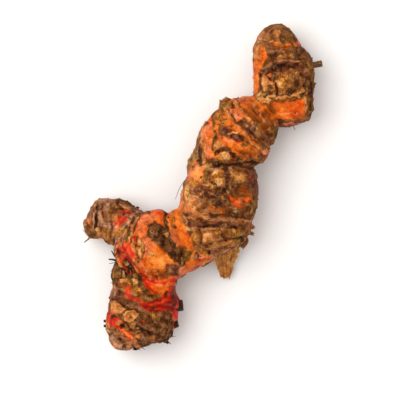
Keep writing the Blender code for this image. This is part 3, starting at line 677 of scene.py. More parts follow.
KNUCKLE_MARKS = (
    Area(F.ORANGE, (124, 214, 150, 204, 166, 202, 168, 226, 182, 256, 204, 260, 196, 284, 160, 292, 136, 284,
        116, 262, 116, 236)),
    Area(F.SALMON, (136, 222, 148, 211, 160, 206, 162, 213, 154, 220, 146, 226, 140, 233), 3),
    Area(F.VERMILION, (152, 205, 167, 203, 168, 226, 162, 222, 159, 212), 3),
    Area(F.SALMON, (142, 232, 148, 232, 153, 246, 150, 258, 144, 262, 141, 248), 2.8),
    Blot(F.VERMILION, 146, 262, 4, 5, 0.4, 3),
    Area(F.CRUST, (147, 225, 155, 221, 164, 226, 169, 240, 177, 252, 176, 262, 165, 255, 157, 246, 149, 236),
        2.4),
    Blot(F.GREY, 152, 229, 3.2, 3, 0, 2.4),
    Blot(F.PURPLE, 168, 249, 4.4, 4, 0, 2.6),
    Blot(F.BLACK, 163, 238, 4.4, 6, -0.4, 2.8, -0.1),
    Area(F.ORANGE, (146, 253, 156, 250, 166, 256, 177, 264, 168, 270, 152, 270, 144, 264), 2),
    Blot(F.APRICOT, 159, 260, 10, 6, 0.45, 2.6),
    Blot(F.GOLD, 153, 253.5, 3.4, 1.6, 0.2, 2.2),
    Area(F.RED, (120, 246, 126, 236, 133, 226, 136, 230, 134, 246, 137, 262, 147, 274, 156, 281, 140, 281,
        126, 266), 2.8),
    Area(F.SALMON, (133, 230, 138, 227, 136, 238, 134, 250, 139, 266, 147, 274, 142, 274, 133, 258), 2.2),
    Streak(F.TAN, (135, 231, 131.5, 244, 134, 258, 141, 269, 151, 276.5), 0.6, 0.8, 0.2),
    Streak(F.BROWN, (133.5, 231, 129.8, 244, 132, 259, 139, 270.5, 149, 278), 0.5, 0.9, -0.15),
    Streak(F.TAN, (131.5, 231, 128, 244, 130, 260, 137, 272, 147, 279.5), 0.6, 0.8, 0.2),
    Streak(F.TAN, (142, 266, 150, 272, 160, 277, 172, 280), 0.5, 0.8, 0.1),
    Streak(F.BROWN, (138, 236, 135.8, 246, 138, 256, 141, 259), 0.8, 0.9, -0.1),
    Streak(F.BROWN, (140, 236, 143.6, 243, 144, 252, 141.5, 258), 0.6, 0.8, -0.1),
    Blot(F.GOLD, 140, 247, 2.6, 8.6, -0.05, 1.2, 0.1),
    Blot(F.CREAM, 140.2, 246, 1.3, 5.6, -0.05, 1),
    Area(F.AMBER, (144, 273, 160, 271, 174, 270, 182, 277, 168, 284, 150, 283)),
    Blot(F.CRUST, 156, 271, 2.4, 1.4, 0.5, 2),
    Area(F.PURPLE, (163, 266, 174, 263, 184, 267, 180, 276, 168, 275), 3.2),
    Blot(F.GREY, 171, 271, 3, 2, 0.2, 2.2),
    Area(F.SALMON, (182, 266, 204, 258, 202, 270, 186, 282, 174, 282), 2.4),
    Streak(F.RED, (182, 265, 194, 260, 206, 258), 0.7, 1.2),
    Blot(F.SALMON, 143, 224, 4.4, 4, -0.5, 3.2),
    Blot(F.SALMON, 149, 246, 3, 5, -0.3, 3),
    Blot(F.SALMON, 172, 277, 5, 2.4, -0.2),
    Blot(F.GREY, 153, 234, 3, 4, -0.4),
    Blot(F.SALMON, 146, 275, 4.4, 3, 0.4),
    Blot(F.ORANGE, 155, 274, 4, 2.6, 0.2),
    Blot(F.VERMILION, 142, 270, 4, 3.4, 0.6, 3),
    Blot(F.SALMON, 147, 218, 5, 3.4, -0.6, 3.2),
    Blot(F.VERMILION, 158, 212, 6, 4.4, 0.2, 3.4),
    Blot(F.VERMILION, 141, 236, 2.6, 4.4, 0.3, 3),
    Blot(F.RED, 134, 238, 2.4, 5, 0.3, 3),
    Blot(F.APRICOT, 160, 262, 6, 4, 0.5, 3),
    Streak(F.CREAM, (140, 241, 140.5, 247, 140, 253), 0.9, 1.4),
    Streak(F.TAN, (133.5, 246, 133.5, 258, 138, 267), 0.6, 1.2),
)

STUB_MARKS = (
    Area(F.ASH, (76, 190, 118, 186, 152, 200, 142, 214, 130, 224, 128, 250, 84, 252, 76, 220)),
    Area(F.CRUST, (110, 194, 124, 194, 152, 208, 150, 214, 134, 210, 122, 204, 112, 203)),
    Area(F.BROWN, (110, 200, 126, 206, 124, 214, 112, 224, 108, 212), 3.2),
    Blot(F.ASH, 106, 208, 6, 6, 0, 2.6),
    Blot(F.PURPLE, 114, 213, 4, 3, 0.3),
    Streak(F.OLIVE, (112, 203, 111, 212, 113, 220)),
    Streak(F.CRUST, (104, 203, 104, 216), 0.8, 1.4),
    Streak(F.CRUST, (116, 202, 121, 207, 126, 214)),
    Streak(F.TAN, (119, 203, 125, 208), 0.8, 1.2),
    Area(F.ASH, (86, 206, 97, 204, 96, 232, 90, 238, 84, 226), 1.6),
    Area(F.BROWN, (84, 211, 90, 209, 91.5, 230, 86, 230), 1.8),
    Blot(F.SALMON, 88, 221, 2.2, 5, 0, 2.2),
    Blot(F.CRUST, 89, 207, 4, 2, -0.4, 1.8),
    Blot(F.CRUST, 86, 229, 2.4, 3, -0.4, 1.8),
    Streak(F.CRUST, (92.5, 210, 92, 222, 90.5, 232), 0.6, 0.9),
    # Painted shadow beside the raised ring near the stub's cut end.
    Streak(F.BLACK, (98, 205, 97.5, 218, 95, 232), 1.5, 1.2, -0.5),
    Area(F.PURPLE, (124, 208, 138, 211, 146, 214, 136, 217, 126, 214), 2.8),
    Area(F.RED, (112, 219, 120, 213, 131, 216, 129, 222, 115, 229), 3),
    Blot(F.DEEP_RED, 127, 212, 9, 3.4, 0.25, 3.6),
    Blot(F.RED, 121, 218, 5.4, 3.4, -0.3, 3.2),
    Blot(F.DEEP_RED, 124, 216, 4.4, 2.2, 0, 2.4),
    Blot(F.SALMON, 116, 226, 3.4, 2.4, -0.4, 2.4),
    Area(F.GOLD, (114, 230, 120, 227, 126, 229, 128, 234, 121, 237, 115, 235)),
    Area(F.FIBRE, (92, 229, 104, 227, 113, 230, 112, 244, 96, 246)),
    Blot(F.GOLD, 98, 231, 3.2, 3, 0, 2.4),
    Area(F.SALMON, (93, 238, 104, 240, 112, 240, 110, 248, 94, 248)),
    Streak(F.OLIVE, (108, 228, 104, 236, 108, 242), 1.4, 2),
    Area(F.SALMON, (126, 222, 138, 216, 136, 224, 130, 234)),
    Streak(F.CRUST, (134, 217, 130, 226, 129.5, 236), 0.7, 1, -0.15),
    Streak(F.TAN, (136.5, 217, 132.5, 226, 131.5, 236), 0.6, 0.9, 0.15),
    Streak(F.CRUST, (139, 216, 135, 225, 134, 232), 0.5, 0.9, -0.1),
    Streak(F.OLIVE, (129, 233, 127, 240, 122, 248), 1.4, 1.8),
    Area(F.SALMON, (116, 240, 126, 240, 128, 252, 120, 254)),
    Blot(F.GREY, 121, 244, 2.4, 4.4, 0.3, 2),
    Blot(F.VERMILION, 127, 244, 3, 3, 0.3, 2.4),
    Blot(F.CREAM, 97, 230, 3.4, 3, 0.2),
    Blot(F.TAN, 103, 236, 5, 3, 0.2, 3),
    Blot(F.TAN, 115, 217, 3, 3.4, 0.2),
    Blot(F.SALMON, 118, 246, 3.4, 4.4, 0.2),
    Blot(F.CRUST, 92, 234, 3, 3, 0, 1.8),
)

HOLLOW_MARKS = (
    Area(F.RED, (122, 246, 130, 242, 135, 252, 135, 262, 126, 262)),
    Area(F.DEEP_RED, (118, 252, 126, 253, 133, 264, 137, 278, 128, 280, 120, 268), 2.4),
    Area(F.PURPLE, (119, 252, 126, 253, 128, 260, 123, 264, 119, 260), 2.4),
    Area(F.DEEP_RED, (122, 252, 131, 256, 137, 270, 137, 280, 128, 282, 122, 270), 2.8),
    # Painted shade at the bottom of the hollow.
    Area(F.BLACK, (125, 259, 130, 261, 133, 270, 131, 277, 127, 277, 124, 268), 2.6, -0.2),
    Blot(F.AMBER, 118.4, 255, 2.2, 2.8, 0.2, 1.8, 0.5),
    Area(F.OLIVE, (126, 276, 137, 273, 145, 284, 151, 293, 162, 298, 152, 301, 140, 300, 130, 292)),
    Streak(F.OLIVE, (152, 297, 162, 296, 172, 291), 1.8, 2.2),
    Blot(F.GOLD, 137, 290, 4, 4, 0, 2.6),
    Area(F.CREAM, (131, 279, 135, 280, 136, 285, 132, 284), 1.2, 0.2),
    Streak(F.CRUST, (138, 276, 137, 286, 142, 292, 150, 296), 1.3, 1.8, -0.2),
)

FOOT_MARKS = (
    Area(F.BROWN, (106, 282, 118, 280, 128, 290, 146, 300, 176, 290, 190, 320, 174, 352, 140, 358, 98, 354,
        94, 312)),
    Area(F.RED, (136, 300, 150, 300, 166, 294, 174, 282, 186, 288, 186, 328, 172, 326, 166, 314, 150, 316,
        138, 311), 2.4),
    Area(F.VERMILION, (142, 272, 158, 279, 178, 276, 176, 289, 164, 298, 150, 293), 2),
    Blot(F.RED, 148, 285, 5, 4.4, 0.5),
    Blot(F.AMBER, 160, 286, 7, 2, 0.1, 2.6),
    Blot(F.ORANGE, 160, 292, 4, 2, 0.1, 2.2),
    Streak(F.RED, (140, 273, 149, 280, 162, 283, 176, 280), 1.3, 1.8),
    # Painted highlight: a pale line along the top of the neck.
    Streak(F.SALMON, (148, 278, 158, 281, 170, 281), 0.6, 1, 0.1),
    Area(F.RED, (121, 284, 128, 283, 133, 291, 143, 300, 137, 303, 127, 298), 2.2),
    Blot(F.VERMILION, 127, 290, 3, 4.4, -0.4, 2.4),
    Area(F.DEEP_RED, (138, 301, 158, 301, 168, 295, 174, 284, 184, 288, 184, 310, 168, 315, 148, 315, 140,
        309), 2),
    Area(F.RED, (173, 288, 180, 290, 181, 306, 174, 313, 168, 312, 174, 303), 2.8),
    Area(F.PURPLE, (108, 287, 118, 286, 128, 298, 140, 305, 147, 313, 132, 311, 120, 303, 106, 298)),
    Blot(F.GREY, 114, 290, 4, 3, 0.5, 2.6),
    Blot(F.CRUST, 128, 304, 4, 2.4, 0.5, 2.4),
    Blot(F.CRUST, 144, 311, 3.4, 1.6, 0.4, 2),
    Area(F.RED, (104, 309, 116, 312, 125, 319, 125, 327, 116, 327, 104, 326), 2.8),
    Blot(F.SALMON, 110, 316, 4, 3, 0, 2.6),
    Streak(F.CRUST, (108, 300, 120, 301, 128, 309, 118, 315, 110, 316), 1, 1.4, -0.1),
    Area(F.TAN, (111, 301, 118, 301, 122, 307, 124, 309, 116, 313, 112, 312), 0.9, 0.35),
    Area(F.CRUST, (121, 312, 138, 309, 144, 316, 138, 326, 140, 333, 128, 330), 1.4, -0.1),
    Area(F.TAN, (122, 311.5, 133, 310, 140, 315, 133, 322, 129, 324, 124, 319), 0.9, 0.35),
    Area(F.GOLD, (126, 322, 134, 322, 137, 331, 130, 328), 2.2, 0.1),
    Blot(F.GOLD, 131, 318, 2.4, 2, 0.1, 2),
    Area(F.CRUST, (138, 318, 150, 316, 170, 308, 178, 318, 174, 340, 160, 352, 138, 354, 134, 344, 142, 334),
        2.4),
    Area(F.OLIVE, (149, 313, 160, 312, 161, 320, 152, 321), 1.8, 0.2),
    Blot(F.GOLD, 155, 316, 2.8, 2, 0.2, 2),
    Blot(F.BLACK, 144, 328, 5, 4, 0.2, 2.6, -0.1),
    Blot(F.RED, 129, 334, 3, 4.6, 0.5),
    Blot(F.SALMON, 138, 335, 4, 2.6, 0.3, 3),
    Blot(F.AMBER, 150, 326, 4, 2.4, 0.2),
    Area(F.SALMON, (102, 316, 109, 317, 112, 330, 110, 338, 102, 338)),
    Blot(F.RED, 143, 321, 2.6, 1.4, 0.2, 2.2),
    Blot(F.RED, 163, 318, 2, 1.4, 0.2, 2),
    Blot(F.FIBRE, 152, 338, 7, 4, -0.3, 3.4),
    Blot(F.FIBRE, 163, 326, 4, 3, -0.5, 3),
    Area(F.SALMON, (171, 312, 182, 308, 180, 324, 172, 330), 2),
    Streak(F.RED, (115, 319, 119, 328, 126, 335, 135, 340), 2.2, 2, 0.1),
    Streak(F.APRICOT, (120, 329, 126, 334, 131, 337), 0.8, 1.2),
    Blot(F.BLACK, 122.5, 325.5, 2.4, 3, 0.2, 1.6),
    Area(F.GREY, (100, 322, 112, 326, 122, 336, 134, 342, 130, 352, 108, 350, 100, 340), 2.8),
    Blot(F.TAN, 112, 345, 6, 5, 0.3, 3.4),
    Streak(F.CRUST, (110, 334, 120, 341, 130, 345), 1.4, 2),
    Blot(F.SALMON, 130, 345, 4, 4),
    Streak(F.BLACK, (133, 346, 133, 354), 0.7, 1.2, -0.3),
    Blot(F.TAN, 138, 346, 4, 3.4, 0.2, 3.2),
    Blot(F.GREY, 126, 344, 4, 3, 0.2, 3),
    Blot(F.BROWN, 135, 295, 4.4, 2.8, 0.5),
    Blot(F.RED, 126, 293, 2.6, 4, -0.5, 2.6),
    Blot(F.TAN, 120, 322, 3, 3, 0.4, 2.6),
    Blot(F.RED, 162, 288, 7, 1.8, 0.1, 2.6),
    Blot(F.DEEP_RED, 167, 296, 5.4, 4.4, 0.6, 2.6),
    Blot(F.BROWN, 125, 284, 3.4, 2.6, 0.2),
    Blot(F.GREY, 134, 325, 3.4, 4, 0.2, 3),
    Area(F.DEEP_RED, (136, 301, 150, 301, 164, 296, 176, 286, 179, 300, 175, 312, 160, 309, 148, 311, 138,
        307), 2.2),
    Area(F.RED, (138, 302, 152, 301.5, 163, 299, 172, 290, 175, 297, 166, 304, 152, 306), 2.4),
    Blot(F.VERMILION, 152, 303, 4, 1.2, 0, 2),
    Blot(F.BLACK, 153, 308, 3.4, 2, 0.1, 2.2),
    Area(F.RED, (171, 312, 182, 308, 180, 324, 172, 328)),
    Blot(F.RED, 108, 316, 2.6, 4.4, 0.1, 3),
    Blot(F.ASH, 112, 340, 6, 7, 0.2, 3.4),
    Blot(F.ASH, 121, 349, 6, 4, 0.2, 3.2),
    Blot(F.BROWN, 116, 334, 4.4, 3.4, 0.5, 3.2),
    Blot(F.ASH, 114, 294, 4.4, 4.4, 0.2, 3),
    Blot(F.TAN, 134, 342, 4, 3.4, 0.2, 3),
    Area(F.ORANGE, (147, 285, 158, 283, 172, 280, 171, 288, 161, 295, 152, 294), 2.8),
    # Painted shade deep in the hollow.
    Blot(F.BLACK, 127.5, 267, 1.8, 4.4, -0.4, 1.8, -0.3),
    Blot(F.VERMILION, 160, 284, 7, 2.4, -0.1),
    Streak(F.DEEP_RED, (119, 253, 124, 262, 129, 273), 2.8, 2.6, -0.3),
    # Painted shade deep in the hollow.
    Streak(F.BLACK, (125, 262, 129, 272), 1.5, 2, -0.4),
    Blot(F.DEEP_RED, 173, 298, 4.4, 6, 0.3),
    Streak(F.RED, (142, 279, 150, 286, 156, 293), 1, 2),
)

MARKS = (
    *CROWN_MARKS,
    *UPPER_MARKS,
    *BELLY_MARKS,
    *KNUCKLE_MARKS,
    *COLLAR_MARKS,
    *STUB_MARKS,
    *HOLLOW_MARKS,
    *FOOT_MARKS,
)


# The rhizome's joints and scars, as in the solid


@dataclass(frozen=True)
class Ring:
    """A leaf scar round a joint: its place along the joint, its lip's height and its tilt."""

    along: float
    height: float
    lean: float = 0.0


@dataclass(frozen=True)
class Joint:
    """A swollen joint: cross-sections (x, y, z, half width, half height) and how long its ends round off."""

    name: str
    sections: tuple
    round_in: float
    round_out: float
    rings: tuple[Ring, ...] = ()


@dataclass(frozen=True)
class Scar:
    """A scar in the upper skin: middle, half sizes and turn from above, depth, rim, edge and warts."""

    x: float
    y: float
    across: float
    along: float
    turn: float
    depth: float
    rim: float
    edge: float = 0.6
    warts: float = 0.0


JOINTS = (
    Joint("crown_finger", ((33.4, 68.2, 13.2, 2.6, 3.4), (32.7, 65.6, 13.1, 6.1, 6.6),
        (32.1, 63, 13, 8.3, 8.2), (31.7, 60.2, 12.7, 9.6, 9.2), (31.6, 57, 12.4, 10.6, 10.2),
        (32.6, 52.6, 12, 11.7, 11.3), (34.2, 48.6, 11.8, 12.9, 12), (34.5, 43.6, 11.8, 12.8, 12.1),
        (34.3, 38, 11.7, 12.2, 11.8), (35.4, 31.8, 11.6, 10.9, 10.6), (36, 25.1, 11.6, 8.6, 8.6)), 1.6, 4,
        (Ring(7.4, 0.2, 0.05), Ring(11.4, 0.4, 0.1), Ring(16.2, 0.6, -0.12), Ring(38.6, 0.5, -0.05))),
    Joint("upper_joint", ((29, 33.8, 13.2, 6.8, 7.6), (26.2, 31.3, 13.8, 8.5, 9.4),
        (22.6, 28.3, 14.6, 11.5, 11.2), (18.2, 24.8, 15.2, 13.9, 12.4), (13.8, 19.1, 15.2, 14.7, 12.9),
        (11.2, 13.2, 15, 13.7, 12.4), (10.6, 7.5, 14.8, 11.6, 11.4)), 3, 3, (Ring(8.4, 0.7, 0.1),
        Ring(14.2, 0.8, -0.06), Ring(25.4, 0.5, 0.1))),
    Joint("belly_joint", ((10.5, 12, 14.6, 12, 11.2), (9.3, 5.6, 14.4, 14.2, 13.4),
        (8.2, -0.4, 14.3, 15.7, 14.4), (6.8, -6, 14.3, 16.2, 14.5), (5.9, -12.2, 14.6, 15.2, 14),
        (6.2, -18.1, 15.2, 14.1, 13), (6.9, -23.5, 15.6, 11.8, 11.2), (7.9, -28, 15.6, 7.8, 8)), 4, 3.4,
        (Ring(5.6, 0.6, 0), Ring(16.8, 0.45, 0.1), Ring(24.4, 0.8, 0.06), Ring(34.8, 1, -0.08))),
    Joint("collar", ((5, -18.4, 14.6, 9.8, 9.5), (-1, -20.6, 14.8, 12.2, 11), (-6, -22, 15, 13.2, 11.4),
        (-10.6, -23.2, 15.2, 13.4, 11.4), (-15.8, -24, 15.2, 11, 10.6)), 3, 3, (Ring(8.6, 0.25),)),
    Joint("knuckle", ((-9.4, -22.4, 15.6, 12.4, 11.4), (-13.4, -23.6, 16, 15, 13.2),
        (-18, -25, 16.2, 15.4, 13.9), (-22.9, -26.8, 16, 14.6, 13.4), (-27.5, -29, 15.2, 12.4, 11.6),
        (-31, -31, 14, 9.4, 9.2), (-33.4, -32.4, 12.8, 6.6, 6.8)), 3, 3.4, (Ring(13.4, 0.7, 0),
        Ring(16.2, 0.75, 0.03), Ring(18.9, 0.75, 0), Ring(21.5, 0.75, -0.03), Ring(24.1, 0.65, 0))),
    Joint("side_stub", ((-22, -20.8, 14, 8, 8.4), (-30, -17.8, 11.4, 8.6, 8.8), (-35.9, -14.9, 9.6, 9.4, 9.3),
        (-40.9, -14.1, 9.1, 8.9, 9.25), (-43.3, -14.4, 9.1, 8.2, 8.5), (-45, -14.9, 9.2, 7.1, 7.3),
        (-47.4, -14.9, 9.3, 6.2, 6.4), (-49.8, -14.6, 9.5, 3.2, 3.6)), 3, 0.8, (Ring(9.4, 0.55, 0.12),
        Ring(12.2, 0.5, 0.06), Ring(17.6, 0.6, 0), Ring(23.2, 1, 0))),
    Joint("foot_neck", ((-18.4, -30, 16.6, 6.6, 6.6), (-18.2, -38, 16.2, 7.2, 7.2),
        (-18.4, -43, 15.8, 6.8, 7.2), (-18.6, -45.8, 15.4, 5.4, 6.4)), 2, 2, (Ring(10.2, 0.6),
        Ring(14, 0.5))),
    Joint("foot_joint", ((-19.4, -33.6, 13, 9.6, 9.6), (-22.4, -39.7, 12.4, 12.1, 11.4),
        (-23.8, -44.1, 12.2, 14.3, 12.2), (-24.7, -49.4, 12.1, 14.5, 12.4), (-25.6, -54.8, 12, 14.3, 12.3),
        (-27, -59, 11.8, 13.9, 11.8), (-27.9, -62.2, 11.7, 12.7, 11), (-28.1, -64.6, 11.6, 11.2, 9.9),
        (-27.9, -66.5, 11.6, 8.9, 8), (-27.6, -68, 11.6, 6.2, 5.8)), 3, 1.4, (Ring(13.4, 0.85, 0.22),
        Ring(18.6, 0.65, 0.2), Ring(24.4, 0.7, 0.1), Ring(30.2, 0.8, 0))),
)

SCARS = (
    Scar(33.9, 43, 9, 7.5, 0.1, 1.3, 0.3, 0.6, 0.3),
    Scar(35, 43.6, 3.6, 2.8, 0.2, -0.9, 0, 0.7, 0.3),
    Scar(27.2, 38.4, 3, 3.4, 0.4, -1, 0, 0.6, 0.3),
    Scar(28.6, 47, 1.3, 1.2, 0, -0.8, 0, 0.9, 0),
    Scar(43.4, 38.6, 2.4, 11, 0.05, -0.7, 0, 0.25, 0.25),
    Scar(6.4, 3.8, 2.6, 3.9, 0.1, -0.9, 0, 0.45, 0.5),
    Scar(14.8, 3.8, 3.2, 2.3, 0, -0.9, 0, 0.45, 0.5),
    Scar(-6.1, -3.6, 1.5, 3, 0.2, -0.5, 0, 0.5, 0.2),
    Scar(10.3, 13.2, 2.2, 1.9, 0.3, -1.1, 0, 0.6, 0.2),
    Scar(6.6, -7, 5.6, 4.6, 0.2, -0.4, 0, 0.35, 0.6),
    Scar(-26.2, -24.8, 1.1, 4.2, 0.1, 0.8, 0.45, 0.5, 0),
    Scar(-18, -20, 4.4, 4.6, 0.5, -0.7, 0, 0.35, 0.3),
    Scar(-36.4, -50.2, 2.4, 2.9, 0.5, -0.55, 0, 0.2, 0),
    Scar(-29.6, -54.6, 3.2, 2.7, -0.3, -0.6, 0, 0.2, 0.1),
    Scar(-19.8, -54.4, 2.3, 2.2, 0.2, -0.4, 0, 0.25, 0.1),
    Scar(-20.4, -60.6, 6.4, 4.6, 0.3, -0.4, 0, 0.3, 0.3),
    Scar(-29.2, -67.6, 0.9, 2.6, 0, 1.2, 0, 0.7, 0),
    Scar(-47.6, -13.8, 2, 4.4, 0, 0.9, 0.4, 0.25, 0.2),
    Scar(-31.6, -33, 1.9, 4, -0.2, 1, 0, 0.6, 0),
)


@dataclass
class JointPlaces:
    """Where each point of the skin lies on the joint that it belongs to."""

    along: Array
    angle: Array
    lip: Array
    groove: Array
    relief: Array


@dataclass
class SkinForm:
    """The rhizome's bare form, and the relief that its ring scars and shoot scars give it."""

    form_voxel: float = 0.56
    relief_voxel: float = 0.49
    crease_smoothing: int = 3
    joint_sides: int = 72
    joint_step: float = 0.8
    search_step: float = 0.5
    resting_flat: float = 0.06
    relief_fade: tuple[float, float] = (0.5, 2.5)
    swell_before: float = 2.6
    lip_width: float = 0.5
    groove_width: float = 0.6
    groove_offset: float = 1.05
    ring_wave: float = 0.45
    ring_wave_length: float = 6.0
    lean_reach: float = 10.0
    swell_height: float = 0.45
    swell_length: float = 9.0
    lump_height: float = 0.22
    lump_length: float = 2.6
    ragged: float = 0.14
    ragged_length: float = 2.4
    wart_length: float = 2.3
    rim_width: float = 0.14
    joint_spacing: float = 60.0
    groove_share: float = 0.6
    least_swelling: float = 0.25
    near_ends: tuple[float, ...] = (0.004, 0.03, 0.1)

    def rounding(self, gone: Array, joint: Joint) -> Array:
        """How far a joint has swelled there: its ends round off like half an ellipse."""
        from_start = np.clip(gone / joint.round_in, 0, 1)
        from_end = np.clip((gone[-1] - gone) / joint.round_out, 0, 1)
        return np.sqrt(1 - (1 - from_start) ** 2) * np.sqrt(1 - (1 - from_end) ** 2)

    def loft(self, mesh: Mesh, joint: Joint) -> None:
        """Adds a joint to the mesh as a closed loft of its cross-sections.

        Args:
            mesh: The mesh.
            joint: The joint.
        """
        gone, path = smooth_path(joint.sections, self.joint_step)
        near_ends = np.array(self.near_ends)
        ends = [joint.round_in * near_ends, gone[-1] - joint.round_out * near_ends]
        places = np.unique(np.concatenate([gone[1:-1], *ends]))
        _, across, up = directions(path[:, :3])
        swelled = self.rounding(np.concatenate([[0], places, gone[-1:]]), joint)[1:-1]
        angles = np.linspace(0, 2 * math.pi, self.joint_sides, endpoint=False)[:, None]
        loops = []
        columns = np.hstack([path, across, up])
        for place, full in zip(places, swelled):
            here = np.array([np.interp(place, gone, column) for column in columns.T])
            centre, (wide, tall), side, rise = here[:3], here[3:5] * full, here[5:8], here[8:]
            loops.append(centre + wide * np.cos(angles) * side + tall * np.sin(angles) * rise)
        close_tube(mesh, loops)

    def places(self, points: Array) -> JointPlaces:
        """Finds each point's joint, its place on it and the ring relief there.

        Args:
            points: The skin's points.

        Returns:
            One value of each kind for each point.
        """
        best = np.full(len(points), np.inf)
        found = JointPlaces(*(np.zeros(len(points)) for _ in range(5)))
        wave = self.ring_wave * field(points, self.ring_wave_length, 3)
        worn = 0.85 + 0.4 * field(points, self.ring_wave_length, 4)
        for number, joint in enumerate(JOINTS):
            gone, path = smooth_path(joint.sections, self.search_step)
            way, across, up = directions(path[:, :3])
            centres = path[:, :3]
            apart = (centres**2).sum(axis=1)[None, :] - 2 * points @ centres.T
            nearest = np.argmin(apart, axis=1)
            away = points - centres[nearest]
            full = np.maximum(self.rounding(gone, joint)[nearest], self.least_swelling)
            side = (away * across[nearest]).sum(axis=1) / (path[nearest, 3] * full)
            rise = (away * up[nearest]).sum(axis=1) / (path[nearest, 4] * full)
            ahead = (away * way[nearest]).sum(axis=1)
            off = np.abs(np.hypot(side, rise) - 1) + np.abs(ahead) / path[nearest, 3]
            along, angle = gone[nearest] + ahead, np.arctan2(rise, side)
            mine = off < best
            best[mine] = off[mine]
            shifted = along + self.joint_spacing * number
            here = JointPlaces(shifted, angle, *(np.zeros(len(points)) for _ in range(3)))
            for ring in joint.rings:
                beyond = along - ring.along + ring.lean * self.lean_reach * np.cos(angle) + wave
                swell = np.exp(np.minimum(beyond, 0) / self.swell_before)
                drop = np.exp(-((np.maximum(beyond, 0) / self.lip_width) ** 2))
                groove = np.exp(-(((beyond - self.groove_offset) / self.groove_width) ** 2))
                here.relief += ring.height * worn * (swell * drop - self.groove_share * groove)
                here.lip += worn * np.exp(-((beyond / self.lip_width) ** 2))
                here.groove += worn * groove
            for name in ("along", "angle", "lip", "groove", "relief"):
                getattr(found, name)[mine] = getattr(here, name)[mine]
        return found

    def scar_relief(self, points: Array, normals: Array) -> Array:
        """Height of the scars: a sunken or raised floor, a rim and warts.

        Args:
            points: The skin's points.
            normals: The way that it faces there.

        Returns:
            Millimetres at each point.
        """
        relief = np.zeros(len(points))
        ragged = self.ragged * field(points, self.ragged_length, 5)
        warts = np.abs(field(points, self.wart_length, 6))
        upper = np.clip(normals[:, 2] * 3 + 0.8, 0, 1)
        for scar in SCARS:
            c, s = math.cos(scar.turn), math.sin(scar.turn)
            x, y = points[:, 0] - scar.x, points[:, 1] - scar.y
            reach = np.hypot((c * x + s * y) / scar.across, (c * y - s * x) / scar.along) + ragged
            floor = smooth_step(1.0 + 0.5 * scar.edge - reach, 0, scar.edge)
            rim = np.exp(-(((reach - 1.0 - 0.6 * scar.edge) / self.rim_width) ** 2))
            relief += upper * (scar.rim * rim - scar.depth * floor + scar.warts * floor * (2 * warts - 0.3))
        return relief

    def floor_fade(self, points: Array) -> Array:
        """How much relief the skin has at each point: none where it rests."""
        low, high = self.relief_fade
        return np.clip((points[:, 2] - low) / (high - low), 0, 1)

    def wrap(self, obj: Piece, voxel: float) -> None:
        """Wraps what the object holds in one closed skin of even squares of this size."""
        wrap = obj.modifiers.new("wrap", "REMESH")
        wrap.mode = "VOXEL"
        wrap.voxel_size = voxel * MM
        apply_modifiers(obj)

    def ease(self, obj: Piece, rounds: int) -> None:
        """Smooths the object's creases so many times."""
        ease = obj.modifiers.new("ease", "SMOOTH")
        ease.iterations = rounds
        apply_modifiers(obj)

    def settle(self, obj: Piece) -> None:
        """Flattens the object's lowest bulges onto the table."""
        points = points_of(obj)
        points[points[:, 2] < self.resting_flat, 2] = 0.0
        put_points(obj, points)

    def build(self, name: str) -> Piece:
        """Makes the skin with the solid's own relief.

        Args:
            name: The object's name.

        Returns:
            The skin.
        """
        mesh = bmesh.new()
        for joint in JOINTS:
            self.loft(mesh, joint)
        skin = new_object(name, mesh)
        self.wrap(skin, self.form_voxel)
        self.ease(skin, self.crease_smoothing)
        points, normals = points_of(skin), normals_of(skin)
        crust = self.swell_height * field(points, self.swell_length, 1)
        crust += self.lump_height * field(points, self.lump_length, 2)
        relief = self.places(points).relief + self.scar_relief(points, normals) + crust
        relief *= self.floor_fade(points)
        put_points(skin, points + normals * relief[:, None])
        self.wrap(skin, self.relief_voxel)
        self.ease(skin, 1)
        self.settle(skin)
        return skin


def close_tube(mesh: Mesh, loops: Sequence[Sequence], flat: bool = False) -> None:
    """Joins rings of points into a closed tube.

    Args:
        mesh: The mesh.
        loops: The rings, in millimetres.
        flat: Whether the rings are flat and get rows of faces for caps, instead of one face each.
    """
    rings = [[mesh.verts.new(MM * Vector(point)) for point in loop] for loop in loops]
    count = len(rings[0])
    for near, far in zip(rings, rings[1:]):
        for i in range(count):
            j = (i + 1) % count
            mesh.faces.new((near[i], near[j], far[j], far[i]))
    for ring in (rings[0], rings[-1]):
        if flat:
            for i in range(count // 2 - 1):
                mesh.faces.new((ring[i], ring[i + 1], ring[count - 2 - i], ring[count - 1 - i]))
        else:
            mesh.faces.new(ring)


# Materials


@dataclass(frozen=True)
class Shades:
    """A dark, a middle and a light shade."""

    dark: Colour
    middle: Colour
    light: Colour


